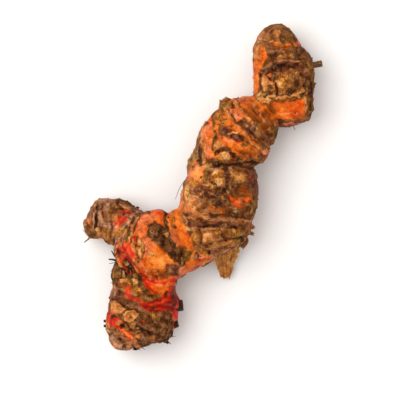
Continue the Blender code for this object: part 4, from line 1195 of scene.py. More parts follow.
class MaterialDraft:
    """One material while its nodes are added. Lengths in it are millimetres."""

    def __init__(self, name: str) -> None:
        """Starts a material of this name."""
        self.material = bpy.data.materials.new(name)
        self.material.use_nodes = True
        self.nodes = self.material.node_tree.nodes
        self.links = self.material.node_tree.links
        self.nodes.clear()
        self.shader = self.nodes.new("ShaderNodeBsdfPrincipled")
        surface = self.nodes.new("ShaderNodeOutputMaterial")
        self.links.new(self.shader.outputs["BSDF"], surface.inputs["Surface"])
        coordinates = self.nodes.new("ShaderNodeTexCoord")
        self.place = self.stretch(coordinates.outputs["Object"], (1 / MM,) * 3)

    def feed(self, socket: Socket, value: Value) -> None:
        """Links a node's input to another node's output, or sets it to a number or a colour."""
        if isinstance(value, bpy.types.NodeSocket):
            self.links.new(value, socket)
        elif socket.type == "RGBA":
            socket.default_value = (*value, 1.0)
        else:
            socket.default_value = value

    def node(self, kind: str, inputs: Inputs, output: Union[int, str] = 0, **settings: object) -> Socket:
        """Adds a node.

        Args:
            kind: Its kind, without Blender's own prefix.
            inputs: What its inputs get, by name or number.
            output: Which of its outputs is wanted.
            **settings: Its other settings.

        Returns:
            The output.
        """
        node = self.nodes.new(f"ShaderNode{kind}")
        for name, setting in settings.items():
            setattr(node, name, setting)
        for place, value in inputs.items():
            self.feed(node.inputs[place], value)
        return node.outputs[output]

    def stretch(self, vector: Socket, scale: Colour) -> Socket:
        """A vector with each of its numbers multiplied by one of three."""
        return self.node("VectorMath", {0: vector, 1: scale}, operation="MULTIPLY")

    def math(self, operation: str, first: Value, second: Value, clamp: bool = False) -> Socket:
        """A sum, a product or the like of two numbers, kept within 0 and 1 if clamp is set."""
        return self.node("Math", {0: first, 1: second}, operation=operation, use_clamp=clamp)

    def times(self, first: Value, second: Value) -> Socket:
        """The product of two numbers."""
        return self.math("MULTIPLY", first, second)

    def plus(self, first: Value, second: Value, clamp: bool = False) -> Socket:
        """The sum of two numbers."""
        return self.math("ADD", first, second, clamp)

    def scaled(self, value: Value, factor: float, offset: Value) -> Socket:
        """A value times a factor plus an offset."""
        return self.node("Math", {0: value, 1: factor, 2: offset}, operation="MULTIPLY_ADD")

    def blend(self, parts: Sequence[tuple[Socket, float]], middle: float = 0.5) -> Socket:
        """Adds several noises by weight, round a middle value.

        Args:
            parts: Each noise and its weight.
            middle: The result where all of them are at 0.5.

        Returns:
            The sum.
        """
        total: Value = middle - 0.5 * sum(weight for _, weight in parts)
        for part, weight in parts:
            total = self.scaled(part, weight, total)
        return total

    def spread(self, value: Value, low: float, high: float, bottom: float = 0.0, top: float = 1.0) -> Socket:
        """Maps a range smoothly onto another one and stays within it."""
        inputs = {"Value": value, "From Min": low, "From Max": high, "To Min": bottom, "To Max": top}
        return self.node("MapRange", inputs, interpolation_type="SMOOTHSTEP")

    def noise(
        self, size: float, detail: float = 3, rough: float = 0.55, bend: float = 0, at: Socket | None = None
    ) -> Socket:
        """Cloudy noise of about 0.25 to 0.75, at the object's own coordinates or at others.

        Size is the size of its lumps, detail says how many finer layers it has and rough how strong they are,
        and bend says how far it is bent by itself.
        """
        inputs = {"Vector": at or self.place, "Scale": 1 / size, "Detail": detail, "Roughness": rough}
        return self.node("TexNoise", {**inputs, "Distortion": bend}, "Fac")

    def attribute(self, name: str, vector: bool = False) -> Socket:
        """The value or the vector that is stored at each point under this name."""
        return self.node("Attribute", {}, "Vector" if vector else "Fac", attribute_name=name)

    def shade(self, value: Socket, shades: Shades, low: float, high: float) -> Socket:
        """Goes from the dark shade over the middle one to the light one.

        Args:
            value: What picks the shade.
            shades: The shades.
            low: The value that is dark. The middle shade lies at 0.5.
            high: The value that is light.

        Returns:
            The colour.
        """
        shaded = self.node("ValToRGB", {"Fac": value}, "Color")
        elements = shaded.node.color_ramp.elements
        elements.new(0.5)
        colours = (shades.dark, shades.middle, shades.light)
        for element, place, colour in zip(elements, (low, 0.5, high), colours):
            element.position = place
            element.color = (*colour, 1.0)
        return shaded

    def mix(self, share: Value, under: Value, over: Value) -> Socket:
        """Lays one colour over another by its share."""
        return self.node("Mix", {0: share, 6: under, 7: over}, 2, data_type="RGBA")

    def mix_value(self, share: Value, under: Value, over: Value) -> Socket:
        """Lays one number over another by its share."""
        return self.node("Mix", {0: share, 2: under, 3: over}, data_type="FLOAT")

    def finish(self, colour: Socket, roughness: Value, height: Socket, gloss: float) -> Material:
        """Feeds the shader.

        Args:
            colour: The base colour.
            roughness: The roughness.
            height: The height of the fine relief.
            gloss: The specular level.

        Returns:
            The finished material.
        """
        bump = self.node("Bump", {"Strength": 1.0, "Distance": MM, "Height": height})
        for name, value in (("Base Color", colour), ("Roughness", roughness), ("Normal", bump)):
            self.feed(self.shader.inputs[name], value)
        self.shader.inputs["Specular IOR Level"].default_value = gloss
        return self.material


class Texture(Enum):
    """How a finish's shades are spread."""

    SMOOTH = "smooth"
    GRAIN = "grain"
    WARTS = "warts"
    FIBRES = "fibres"
    RINGS = "rings"


@dataclass(frozen=True)
class Look(Shades):
    """A finish's look: its shades, their spread, its roughness, and its relief and step in millimetres."""

    texture: Texture
    roughness: float
    relief: float
    step: float = 0.0


T = Texture

SKIN_FINISHES = {
    F.ORANGE: Look((0.32, 0.046, 0.002), (0.68, 0.12, 0.005), (0.9, 0.23, 0.024), T.SMOOTH, 0.46, 0.05),
    F.APRICOT: Look((0.54, 0.1, 0.008), (0.82, 0.2, 0.022), (0.94, 0.34, 0.075), T.SMOOTH, 0.46, 0.05),
    F.SALMON: Look((0.34, 0.06, 0.015), (0.67, 0.145, 0.042), (0.9, 0.3, 0.115), T.SMOOTH, 0.48, 0.05),
    F.AMBER: Look((0.08, 0.012, 0.001), (0.25, 0.044, 0.0012), (0.48, 0.1, 0.004), T.RINGS, 0.5, 0.08),
    F.VERMILION: Look((0.38, 0.024, 0.001), (0.7, 0.066, 0.002), (0.86, 0.14, 0.012), T.SMOOTH, 0.42, 0.04),
    F.RED: Look((0.22, 0.001, 0.0003), (0.52, 0.007, 0.0008), (0.78, 0.042, 0.008), T.SMOOTH, 0.4, 0.04),
    F.DEEP_RED: Look((0.06, 0.0006, 0.0002), (0.21, 0.001, 0.0003), (0.38, 0.004, 0.001),
        T.SMOOTH, 0.4, 0.04),
    F.BROWN: Look((0.06, 0.014, 0.003), (0.19, 0.054, 0.0085), (0.38, 0.13, 0.03), T.GRAIN, 0.66, 0.14, 0.05),
    F.PURPLE: Look((0.028, 0.0045, 0.002), (0.11, 0.027, 0.009), (0.3, 0.1, 0.042), T.GRAIN, 0.6, 0.12, 0.04),
    F.GREY: Look((0.13, 0.038, 0.01), (0.35, 0.13, 0.043), (0.62, 0.3, 0.13), T.RINGS, 0.74, 0.16, 0.06),
    F.ASH: Look((0.09, 0.03, 0.016), (0.31, 0.125, 0.06), (0.58, 0.32, 0.18), T.GRAIN, 0.72, 0.12, 0.05),
    F.OLIVE: Look((0.035, 0.011, 0.0015), (0.165, 0.063, 0.0055), (0.4, 0.19, 0.035),
        T.FIBRES, 0.74, 0.2, 0.08),
    F.FIBRE: Look((0.075, 0.018, 0.003), (0.27, 0.083, 0.014), (0.56, 0.22, 0.06),
        T.FIBRES, 0.76, 0.24, 0.08),
    F.TAN: Look((0.28, 0.082, 0.014), (0.58, 0.2, 0.05), (0.82, 0.37, 0.12), T.GRAIN, 0.64, 0.08, 0.12),
    F.GOLD: Look((0.12, 0.031, 0.002), (0.48, 0.155, 0.017), (0.86, 0.38, 0.08), T.WARTS, 0.72, 0.26, 0.12),
    F.CREAM: Look((0.28, 0.095, 0.018), (0.74, 0.32, 0.088), (0.97, 0.6, 0.23), T.WARTS, 0.76, 0.26, 0.14),
    F.CRUST: Look((0.026, 0.006, 0.002), (0.105, 0.031, 0.0075), (0.34, 0.14, 0.05),
        T.WARTS, 0.84, 0.36, 0.12),
    F.BLACK: Look((0.008, 0.002, 0.0009), (0.03, 0.0065, 0.0024), (0.1, 0.0327, 0.0078), T.WARTS, 0.86, 0.24),
}

SMOOTH_FINISHES = (F.APRICOT, F.SALMON, F.VERMILION, F.RED, F.DEEP_RED, F.AMBER)
# Soil colour, also laid as painted shade in the creases, hollows and ring grooves.
SOIL_AND_SHADE_DARK: Colour = (0.034, 0.012, 0.005)
WORN_PALE: Colour = (0.62, 0.3, 0.12)
# Pale ring lips, laid as a painted highlight along them as well as their paler skin.
LIP_PALE_AND_HIGHLIGHT: Colour = (0.84, 0.42, 0.18)
SPECK_BROWN: Colour = (0.05, 0.016, 0.006)
VEIL_BROWN: Colour = (0.16, 0.045, 0.006)


class SkinMaterial(MaterialDraft):
    """The skin's material: every finish by its share, with soil and painted shade in the hollows, wear on the
    ridges and a painted highlight on the ring lips.
    """

    SHADE_RANGE = (0.33, 0.68)
    WART_SIZE = 0.6
    PRESENCE_GAIN = 2.5
    GLOSS = 0.06
    WEAR = 0.24
    CRUST_EDGE = 0.3
    SMOOTH_EDGE = 0.5

    def textures(self) -> dict[Texture, Socket]:
        """The patterns that spread a finish's shades, each of about 0.2 to 0.8.

        Returns:
            One pattern for each kind.
        """
        joint_place = self.attribute("joint_place", vector=True)
        self.grain = self.noise(0.5, 4.0, 0.65)
        self.mottle = self.noise(2.6, 5.0, 0.58, 0.4)
        slow = self.noise(7.0, 2.0, 0.5)
        cells = self.node("TexVoronoi", {"Vector": self.place, "Scale": 1 / self.WART_SIZE}, "Distance")
        warts = self.math("SUBTRACT", 1.0, cells)
        fibres = self.noise(0.42, 3.0, 0.6, 0.3, at=self.stretch(joint_place, (0.1, 1.0, 1.0)))
        rings = self.noise(0.6, 3.0, 0.6, 0.3, at=self.stretch(joint_place, (1.0, 0.09, 0.09)))
        return {
            T.SMOOTH: self.blend(((self.mottle, 0.75), (slow, 0.5), (self.grain, 0.3), (rings, 0.25))),
            T.GRAIN: self.blend(((self.mottle, 0.9), (self.grain, 0.5), (slow, 0.3))),
            T.WARTS: self.blend(((warts, 0.2), (self.mottle, 1.0), (self.grain, 0.6))),
            T.FIBRES: self.blend(((fibres, 0.55), (self.mottle, 0.85), (self.grain, 0.35))),
            T.RINGS: self.blend(((rings, 0.7), (self.mottle, 0.7), (self.grain, 0.3))),
        }

    def build(self) -> Material:
        """Adds the nodes and returns the finished material."""
        textures = self.textures()
        edge = self.blend(((self.noise(1.9, 6.0, 0.7), 1.15), (self.noise(0.5, 4.0, 0.7), 0.4)), 0.0)
        colour: Value = (0.0, 0.0, 0.0)
        roughness: Value = 0.5
        height: Value = 0.0
        for finish, look in SKIN_FINISHES.items():
            pattern = textures[look.texture]
            shades = self.shade(pattern, look, *self.SHADE_RANGE)
            relief = self.scaled(pattern, look.relief * 2, look.step - look.relief)
            if finish is F.ORANGE:
                colour, roughness, height = shades, look.roughness, relief
                continue
            laid = self.attribute(f"finish_{finish.value}")
            present = self.math("MULTIPLY", laid, self.PRESENCE_GAIN, clamp=True)
            ragged = self.plus(laid, self.times(edge, present))
            edge_width = self.SMOOTH_EDGE if finish in SMOOTH_FINISHES else self.CRUST_EDGE
            share = self.spread(ragged, 0.5 - edge_width, 0.5 + edge_width)
            colour = self.mix(share, colour, shades)
            roughness = self.mix_value(share, roughness, look.roughness)
            height = self.mix_value(share, height, relief)
        colour = self.weather(colour)
        roughness = self.plus(roughness, self.blend(((self.grain, 0.5),), 0.0), clamp=True)
        grit = self.blend(((self.grain, 0.14), (self.noise(0.16, 2.0), 0.08)), 0.0)
        height = self.plus(height, self.times(grit, self.attribute("coarse")))
        return self.finish(colour, roughness, height, self.GLOSS)

    def weather(self, colour: Socket) -> Socket:
        """Puts specks, soil and painted shade in the hollows and ring grooves, wear on the ridges and a
        painted highlight on the ring lips.

        Args:
            colour: The clean colour.

        Returns:
            The weathered colour.
        """
        specks = self.spread(self.noise(0.8, 3.0, 0.6, 0.5), 0.57, 0.64)
        fine_specks = self.spread(self.noise(0.36, 2.0, 0.6, 0.3), 0.6, 0.68, 0.0, 0.5)
        dirtiness = self.attribute("dirt")
        clusters = self.times(dirtiness, self.spread(self.mottle, 0.42, 0.6, 0.25, 1.0))
        dirt = self.times(self.math("MAXIMUM", specks, fine_specks), clusters)
        colour = self.mix(dirt, colour, SPECK_BROWN)
        veil = self.spread(self.noise(3.8, 5.0, 0.62, 0.9), 0.49, 0.66, 0.0, 0.74)
        colour = self.mix(self.times(veil, dirtiness), colour, VEIL_BROWN)
        worn = self.times(self.attribute("ridge"), self.spread(self.mottle, 0.4, 0.62))
        colour = self.mix(self.times(worn, self.WEAR), colour, WORN_PALE)
        # A painted highlight along the ring lips, over their paler skin.
        lip = self.times(self.attribute("lip"), self.spread(self.mottle, 0.4, 0.6, 0.0, 0.34))
        colour = self.mix(lip, colour, LIP_PALE_AND_HIGHLIGHT)
        # Soil and painted shade: darker the deeper a point lies in a crease, a hollow or a ring groove.
        uneven = self.blend(((self.mottle, 0.9), (self.grain, 0.5)), 0.0)
        soil_and_shade = self.plus(self.attribute("hollow"), uneven)
        return self.mix(self.spread(soil_and_shade, 0.36, 1.05, 0.0, 0.82), colour, SOIL_AND_SHADE_DARK)


# The skin


@dataclass(frozen=True)
class Drift:
    """A finish that drifts over the sides and the underside: lump size, seed and how rare it is."""

    finish: Finish
    length: float
    seed: int
    level: float
    spread: float = 0.25
    lower: float = 0.0


DRIFTS = (
    Drift(F.SALMON, 9, 31, 0.15),
    Drift(F.VERMILION, 11, 32, 0.2),
    Drift(F.AMBER, 8, 33, 0.1, 0.3, 0.1),
    Drift(F.BROWN, 10, 34, 0, 0.4, 0.25),
    Drift(F.PURPLE, 6, 35, 0.22),
    Drift(F.FIBRE, 8, 36, 0.15, 0.25, 0.1),
    Drift(F.GOLD, 4.5, 37, 0.34),
    Drift(F.TAN, 5, 38, 0.36),
    Drift(F.CRUST, 5, 39, 0.3, 0.3, 0.12),
)


class SkinPaint:
    """The share of each finish at each point of the skin."""

    def __init__(self, count: int) -> None:
        """Starts with bare orange skin of so many points."""
        self.shares = {finish: np.zeros(count) for finish in Finish if finish is not F.ORANGE}

    def lay(self, finish: Finish, strength: Array) -> None:
        """Lays a finish over what is there.

        Args:
            finish: The finish.
            strength: 0 to 1 at each point; its edge is where it passes 0.5.
        """
        covered = smooth_step(strength, 0.5, 1.0)
        for share in self.shares.values():
            share *= 1 - covered
        if finish is not F.ORANGE:
            self.shares[finish] = np.maximum(self.shares[finish], strength)

    def share(self, *finishes: Finish) -> Array:
        """How much of the skin these finishes take together, 0 to 1 at each point."""
        return np.clip(sum(self.shares[finish] for finish in finishes), 0, 1)


@dataclass
class RhizomeSkin:
    """The whole skin of the rhizome with its fine relief and its finishes."""

    form: SkinForm
    name: str = "rhizome_skin"
    warp: tuple[float, float] = (2.8, 5.5)
    fine_warp: tuple[float, float] = (1.5, 1.7)
    wart_height: float = 0.26
    crust_height: float = 0.18
    fibre_height: float = 0.07
    wrinkle_height: float = 0.09
    girth: float = 12.0

    def paint(self, points: Array, normals: Array) -> tuple[SkinPaint, Array]:
        """Lays the drifts and the marks.

        Args:
            points: The skin's points.
            normals: The way that it faces there.

        Returns:
            The shares of the finishes, and the relief that the marks give.
        """
        paint = SkinPaint(len(points))
        low = np.clip(-normals[:, 2], 0, 1)
        for drift in DRIFTS:
            strength = field(points, drift.length, drift.seed) + drift.lower * low - drift.level
            paint.lay(drift.finish, np.clip(0.5 + strength / drift.spread, 0, 1))
        x, y = PLAN.places(points)
        for seed, (reach, length) in enumerate((self.warp, self.fine_warp)):
            x = x + reach * field(points, length, 41 + seed)
            y = y + reach * field(points, length, 43 + seed)
        upper = smooth_step(normals[:, 2] + 0.3 * field(points, 4.0, 45), -0.2, 0.15)
        relief = np.zeros(len(points))
        for mark in MARKS:
            inside = mark.depth_inside(x, y)
            strength = smooth_step(inside / mark.soft, -1.3, 1.3) * upper
            paint.lay(mark.finish, mark.firm * strength)
            relief += mark.height * strength
        return paint, relief

    def fine_relief(self, points: Array, paint: SkinPaint, places: JointPlaces) -> Array:
        """Height of warts, crust, fibres and wrinkles.

        Args:
            points: The skin's points.
            paint: The shares of the finishes.
            places: Where the points lie on their joints.

        Returns:
            Millimetres at each point.
        """
        billow = 2 * np.abs(field(points, 1.8, 51)) + np.abs(field(points, 0.9, 52)) - 0.5
        rough = field(points, 2.2, 53) + 0.6 * field(points, 1.1, 54)
        cork = paint.share(F.GOLD, F.CREAM)
        crust = paint.share(F.CRUST, F.BLACK, F.OLIVE, F.FIBRE)
        round_about = self.joint_place(places) * np.array([1.0, 0.12, 0.12])
        lengthwise = self.joint_place(places) * np.array([0.12, 1.0, 1.0])
        wrinkles = field(round_about, 1.1, 55) + 0.6 * field(round_about, 2.6, 56)
        fibres = field(lengthwise, 1.2, 57)
        relief = self.wart_height * cork * (0.7 * billow + 0.4 * rough) + self.crust_height * crust * rough
        relief += self.fibre_height * paint.share(F.FIBRE, F.OLIVE) * fibres
        return relief + self.wrinkle_height * wrinkles

    def joint_place(self, places: JointPlaces) -> Array:
        """Coordinates that run along and round the joints, for fibres and wrinkles."""
        c, s = np.cos(places.angle), np.sin(places.angle)
        return np.stack([places.along, self.girth * c, self.girth * s], axis=1)

    def build(self) -> tuple[Piece, SkinPaint]:
        """Makes the skin and dresses it.

        Returns:
            The skin and the shares of its finishes.
        """
        skin = self.form.build(self.name)
        points, normals = points_of(skin), normals_of(skin)
        places = self.form.places(points)
        paint, marked = self.paint(points, normals)
        relief = (marked + self.fine_relief(points, paint, places)) * self.form.floor_fade(points)
        put_points(skin, points + normals * relief[:, None])
        self.form.settle(skin)
        self.store(skin, paint, places)
        return declare(skin, SkinMaterial("galangal_skin").build(), 80.0), paint

    def store(self, skin: Piece, paint: SkinPaint, places: JointPlaces) -> None:
        """Stores what the shader reads at each point.

        Args:
            skin: The skin.
            paint: The shares of the finishes.
            places: Where the points lie on their joints.
        """
        for finish, share in paint.shares.items():
            put_values(skin, f"finish_{finish.value}", share)
        put_values(skin, "joint_place", self.joint_place(places))
        # How deep each point lies in a crease or a ring groove, where the shader paints soil and shade.
        close, wide = hollowness(skin, 5), hollowness(skin, 40)
        hollow = np.clip(close / 0.16, 0, 1) * 0.6 + np.clip(wide / 0.9, 0, 1) * 0.8 + 0.12 * places.groove
        red_skin = paint.share(F.RED, F.DEEP_RED)
        rough_skin = paint.share(*(finish for finish in paint.shares if finish not in SMOOTH_FINISHES))
        hollow *= (1 - 0.6 * paint.share(F.GOLD, F.CREAM)) * (0.55 + 0.45 * rough_skin)
        put_values(skin, "hollow", np.clip(hollow, 0, 1.5))
        # Where the painted highlight of the ring lips goes, fainter on rough and red skin.
        smooth_lip = (1 - 0.8 * rough_skin) * (1 - 0.7 * red_skin)
        put_values(skin, "lip", np.clip(1.2 * places.lip, 0, 1) * smooth_lip)
        put_values(skin, "ridge", np.clip(-close / 0.14, 0, 1) * (0.25 + 0.75 * rough_skin))
        put_values(skin, "coarse", 0.25 + 0.75 * rough_skin)
        put_values(skin, "dirt", 0.5 + 0.35 * rough_skin - 0.35 * red_skin)


# Dry scale leaves, roots, hairs, flakes and crumbs


@dataclass(frozen=True)
class ScaleShape:
    """A dry scale leaf: (x, y, z, half width) along it, its roll in degrees, its curl and its torn tip."""

    name: str
    sections: tuple
    roll: float = 0.0
    curl: float = 0.0
    torn: float = 1.2
    pleat: float = 0.28


SCALE_SHAPES = (
    ScaleShape("belly_scale", ((11.2, -22, 11, 4.2), (10.4, -26, 9.4, 5.4), (9.9, -29.6, 8, 5),
        (9.8, -32.6, 6.5, 3.9), (9.9, -35.6, 5.1, 2.9), (9.6, -38.7, 4, 1.9)), -8, 0.5, 0.7),
    ScaleShape("upper_sheath", ((1.9, 27.4, 17.4, 1.4), (-0.2, 21.8, 17, 2.5), (-0.8, 16.4, 16.5, 3.3),
        (-2.6, 11.8, 15.9, 3.9), (-4.3, 8.4, 15.3, 3.7), (-5.1, 5.2, 14.6, 2.3)), 40, 0.5, 0.8),
    ScaleShape("upper_scrap", ((12.6, 30.6, 17.4, 2.8), (10.4, 33.4, 18.5, 3.4), (9.2, 35.3, 19.2, 2.9),
        (8.5, 36.7, 19.8, 1.9)), 10, 0.3, 0.5),
    ScaleShape("foot_bract", ((-34.2, -43.6, 15.4, 0.7), (-34.4, -40.6, 16.4, 2.5), (-34.6, -37, 17.4, 3.3),
        (-34.3, -33.6, 18.4, 2.6), (-33.6, -30.2, 19.2, 1.2)), -22, -1.4, 1.2, 0.4),
    ScaleShape("cup_scrap_high", ((18, -15.2, 14.4, 1.3), (20.2, -16.4, 14.2, 1.2), (21.6, -17.2, 13.8, 0.8)),
        20, 0, 0.5),
    ScaleShape("cup_scrap_low", ((18, -18.4, 13.6, 1.1), (20, -19.2, 13.2, 0.9), (21.6, -19.8, 12.8, 0.7)),
        -15, 0, 0.5),
    ScaleShape("cup_scrap_hanging", ((16, -18.6, 12.4, 1.4), (17.8, -22.4, 11, 1.8), (16.6, -25.4, 9.8, 1.1)),
        30, 0, 0.6),
    ScaleShape("collar_scrap", ((0.4, -26.8, 11.4, 1.8), (0.3, -30.6, 9.2, 2.2), (0.5, -32.6, 8.2, 1.6)),
        0, 0.3, 0.6),
)


@dataclass(frozen=True)
class LeafFinish(Shades):
    """The look of something dry and papery."""

    roughness: float = 0.72
    vein_spacing: float = 0.45
    vein_weight: float = 0.5
    dark_rim: bool = False


PAPERY = LeafFinish((0.13, 0.036, 0.004), (0.4, 0.132, 0.014), (0.64, 0.29, 0.06), 0.6, 0.8, 0.9)
DULL_PAPERY = LeafFinish((0.06, 0.02, 0.004), (0.28, 0.112, 0.023), (0.56, 0.29, 0.085))
REDDISH_PAPERY = LeafFinish((0.05, 0.012, 0.002), (0.26, 0.095, 0.01), (0.6, 0.27, 0.05), 0.6, 1.3, 1.2, True)


class LeafMaterial(MaterialDraft):
    """Dry scale leaf: veins that run along it, blotches and frayed pale edges."""

    def build(self, look: LeafFinish) -> Material:
        """Adds the nodes.

        Args:
            look: The leaf's shades.

        Returns:
            The finished material.
        """
        leaf_place = self.attribute("leaf_place", vector=True)
        veins = self.noise(look.vein_spacing, 3.0, 0.6, 0.2, at=self.stretch(leaf_place, (1.0, 0.06, 0.2)))
        threads = self.noise(0.18, 2.0, 0.5, 0.1, at=self.stretch(leaf_place, (1.0, 0.05, 0.2)))
        blotches = self.noise(2.2, 4.0, 0.6, 0.5)
        shade = self.blend(((veins, look.vein_weight), (blotches, 0.9), (threads, 0.25)))
        colour = self.shade(shade, look, 0.3, 0.72)
        stains = self.spread(self.noise(1.4, 3.0, 0.6), 0.56, 0.68, 0.0, 0.7)
        colour = self.mix(stains, colour, look.dark)
        edge = self.attribute("leaf_edge")
        if look.dark_rim:
            colour = self.mix(self.spread(edge, 0.3, 0.6, 0.0, 0.9), colour, look.dark)
        else:
            colour = self.mix(self.spread(edge, 0.72, 1.0, 0.0, 0.45), colour, look.light)
        height = self.blend(((veins, 0.22), (threads, 0.12), (blotches, 0.14)), 0.0)
        roughness = self.blend(((blotches, 0.4),), look.roughness)
        return self.finish(colour, roughness, height, 0.3)


@dataclass
class ScaleLeaves:
    """The dry scale leaves that still hang on the joints."""

    shapes: tuple[ScaleShape, ...] = SCALE_SHAPES
    step: float = 0.35
    ribs_across: int = 22
    thickness: float = 0.5
    fray: float = 0.08
    tip_length: float = 3.0

    def blade(self, shape: ScaleShape, seed: int) -> Piece:
        """One leaf as a thin closed sheet with frayed sides and a torn tip.

        Args:
            shape: The leaf.
            seed: Picks its tears.

        Returns:
            The leaf.
        """
        gone, path = smooth_path(shape.sections, self.step)
        along, across, up = directions(path[:, :3])
        loops, leaf_places, edges = [], [], []
        for i, (centre, ahead, side, rise) in enumerate(zip(path, along, across, up)):
            turn = np.array(Matrix.Rotation(math.radians(shape.roll), 3, Vector(ahead)))
            side, rise = turn @ side, turn @ rise
            near_tip = max(0.0, 1 - (gone[-1] - gone[i]) / self.tip_length)
            top, under, row, edge = [], [], [], []
            for u in np.linspace(-1, 1, self.ribs_across):
                ragged = field_at(gone[i], 9.0 * seed, 3.0 * np.sign(u), 1.3, 61)
                fray = 1 + self.fray * ragged * 2 * abs(u) ** 3
                tear = shape.torn * near_tip * field_at(4.0 * u, 7.0 * seed, 0.0, 1.0, 62)
                pleat = shape.pleat * field_at(3.0 * u, 0.12 * gone[i], seed, 0.6, 63)
                lift = pleat - shape.curl * u * u
                middle = centre[:3] + u * centre[3] * fray * side + tear * 2 * ahead + lift * rise
                half = 0.5 * self.thickness * math.sqrt(max(0.06, 1 - u**4))
                top.append(middle + half * rise)
                under.append(middle - half * rise)
                row.append((u * centre[3], gone[i], seed))
                edge.append(max(abs(u) ** 4, near_tip**2))
            loops.append(top + under[::-1])
            leaf_places += row + row[::-1]
            edges += edge + edge[::-1]
        mesh = bmesh.new()
        close_tube(mesh, loops, flat=True)
        leaf = new_object(shape.name, mesh)
        put_values(leaf, "leaf_place", np.array(leaf_places))
        put_values(leaf, "leaf_edge", np.array(edges))
        return leaf

    def build(self) -> list[Piece]:
        """Makes and dresses every leaf.

        Returns:
            The leaves.
        """
        bright = LeafMaterial("dry_scale_leaf").build(PAPERY)
        dull = LeafMaterial("old_scale_leaf").build(DULL_PAPERY)
        reddish = LeafMaterial("reddish_scale_leaf").build(REDDISH_PAPERY)
        looks = {"belly_scale": bright, "collar_scrap": bright, "foot_bract": reddish}
        made = []
        for seed, shape in enumerate(self.shapes):
            made.append(declare(self.blade(shape, seed), looks.get(shape.name, dull), 60.0))
        return made


@dataclass(frozen=True)
class RootShape:
    """A root that was cut off short: (x, y, z, radius) along it, and how uneven its end is."""

    name: str
    sections: tuple
    torn: float = 0.3


ROOT_SHAPES = (
    RootShape("crown_root", ((42, 50.7, 12.4, 1.35), (46.4, 51.2, 13, 1.25), (50.15, 51.8, 13.5, 1.4))),
    RootShape("foot_root_high", ((-13, -49.9, 12.8, 2.4), (-10.2, -49.8, 13, 2.4), (-8.4, -49.6, 13.2, 2.2)),
        0.6),
    RootShape("foot_root_low", ((-15.4, -57.2, 11.8, 2.6), (-12.4, -57, 12, 2.5), (-10.4, -56.8, 12.2, 2.3)),
        0.6),
    RootShape("foot_root_end", ((-18.6, -63, 10.4, 1.5), (-15.8, -64.7, 10.2, 0.95), (-14.3, -65.8, 10, 0.5)),
        0.3),
    RootShape("foot_nub_high", ((-38.4, -56.7, 12.2, 0.75), (-41.5, -56.3, 12.6, 0.6)), 0.2),
    RootShape("foot_nub_low", ((-38.4, -58.4, 12, 0.75), (-41.5, -58.4, 12.2, 0.55)), 0.2),
    RootShape("collar_knob", ((-2.9, -28, 21, 1.3), (-3.2, -28.8, 24.4, 1.2)), 0.2),
)


@dataclass(frozen=True)
class RootFinish(Shades):
    """The shades of a root's bark and of its cut end."""

    cut: Colour


SOUND_ROOT = RootFinish((0.014, 0.006, 0.003), (0.1, 0.04, 0.012), (0.36, 0.18, 0.06), (0.3, 0.15, 0.07))
ROTTEN_ROOT = RootFinish(
    (0.006, 0.002, 0.0014), (0.022, 0.008, 0.004), (0.1, 0.042, 0.018), (0.06, 0.024, 0.01)
)


class RootMaterial(MaterialDraft):
    """Bark of a thin root: lengthwise ridges, with a paler fibrous cut end."""

    def build(self, look: RootFinish) -> Material:
        """Adds the nodes.

        Args:
            look: The root's shades.

        Returns:
            The finished material.
        """
        root_place = self.attribute("root_place", vector=True)
        ridges = self.noise(0.4, 3.0, 0.6, 0.2, at=self.stretch(root_place, (1.0, 1.0, 0.15)))
        blotches = self.noise(0.9, 4.0, 0.65, 0.3)
        colour = self.shade(self.blend(((ridges, 0.9), (blotches, 0.8))), look, 0.32, 0.7)
        pith = self.times(self.attribute("root_end"), self.spread(blotches, 0.38, 0.6, 0.3, 1.0))
        colour = self.mix(pith, colour, look.cut)
        height = self.blend(((ridges, 0.3), (blotches, 0.2)), 0.0)
        return self.finish(colour, self.blend(((blotches, 0.3),), 0.8), height, 0.25)


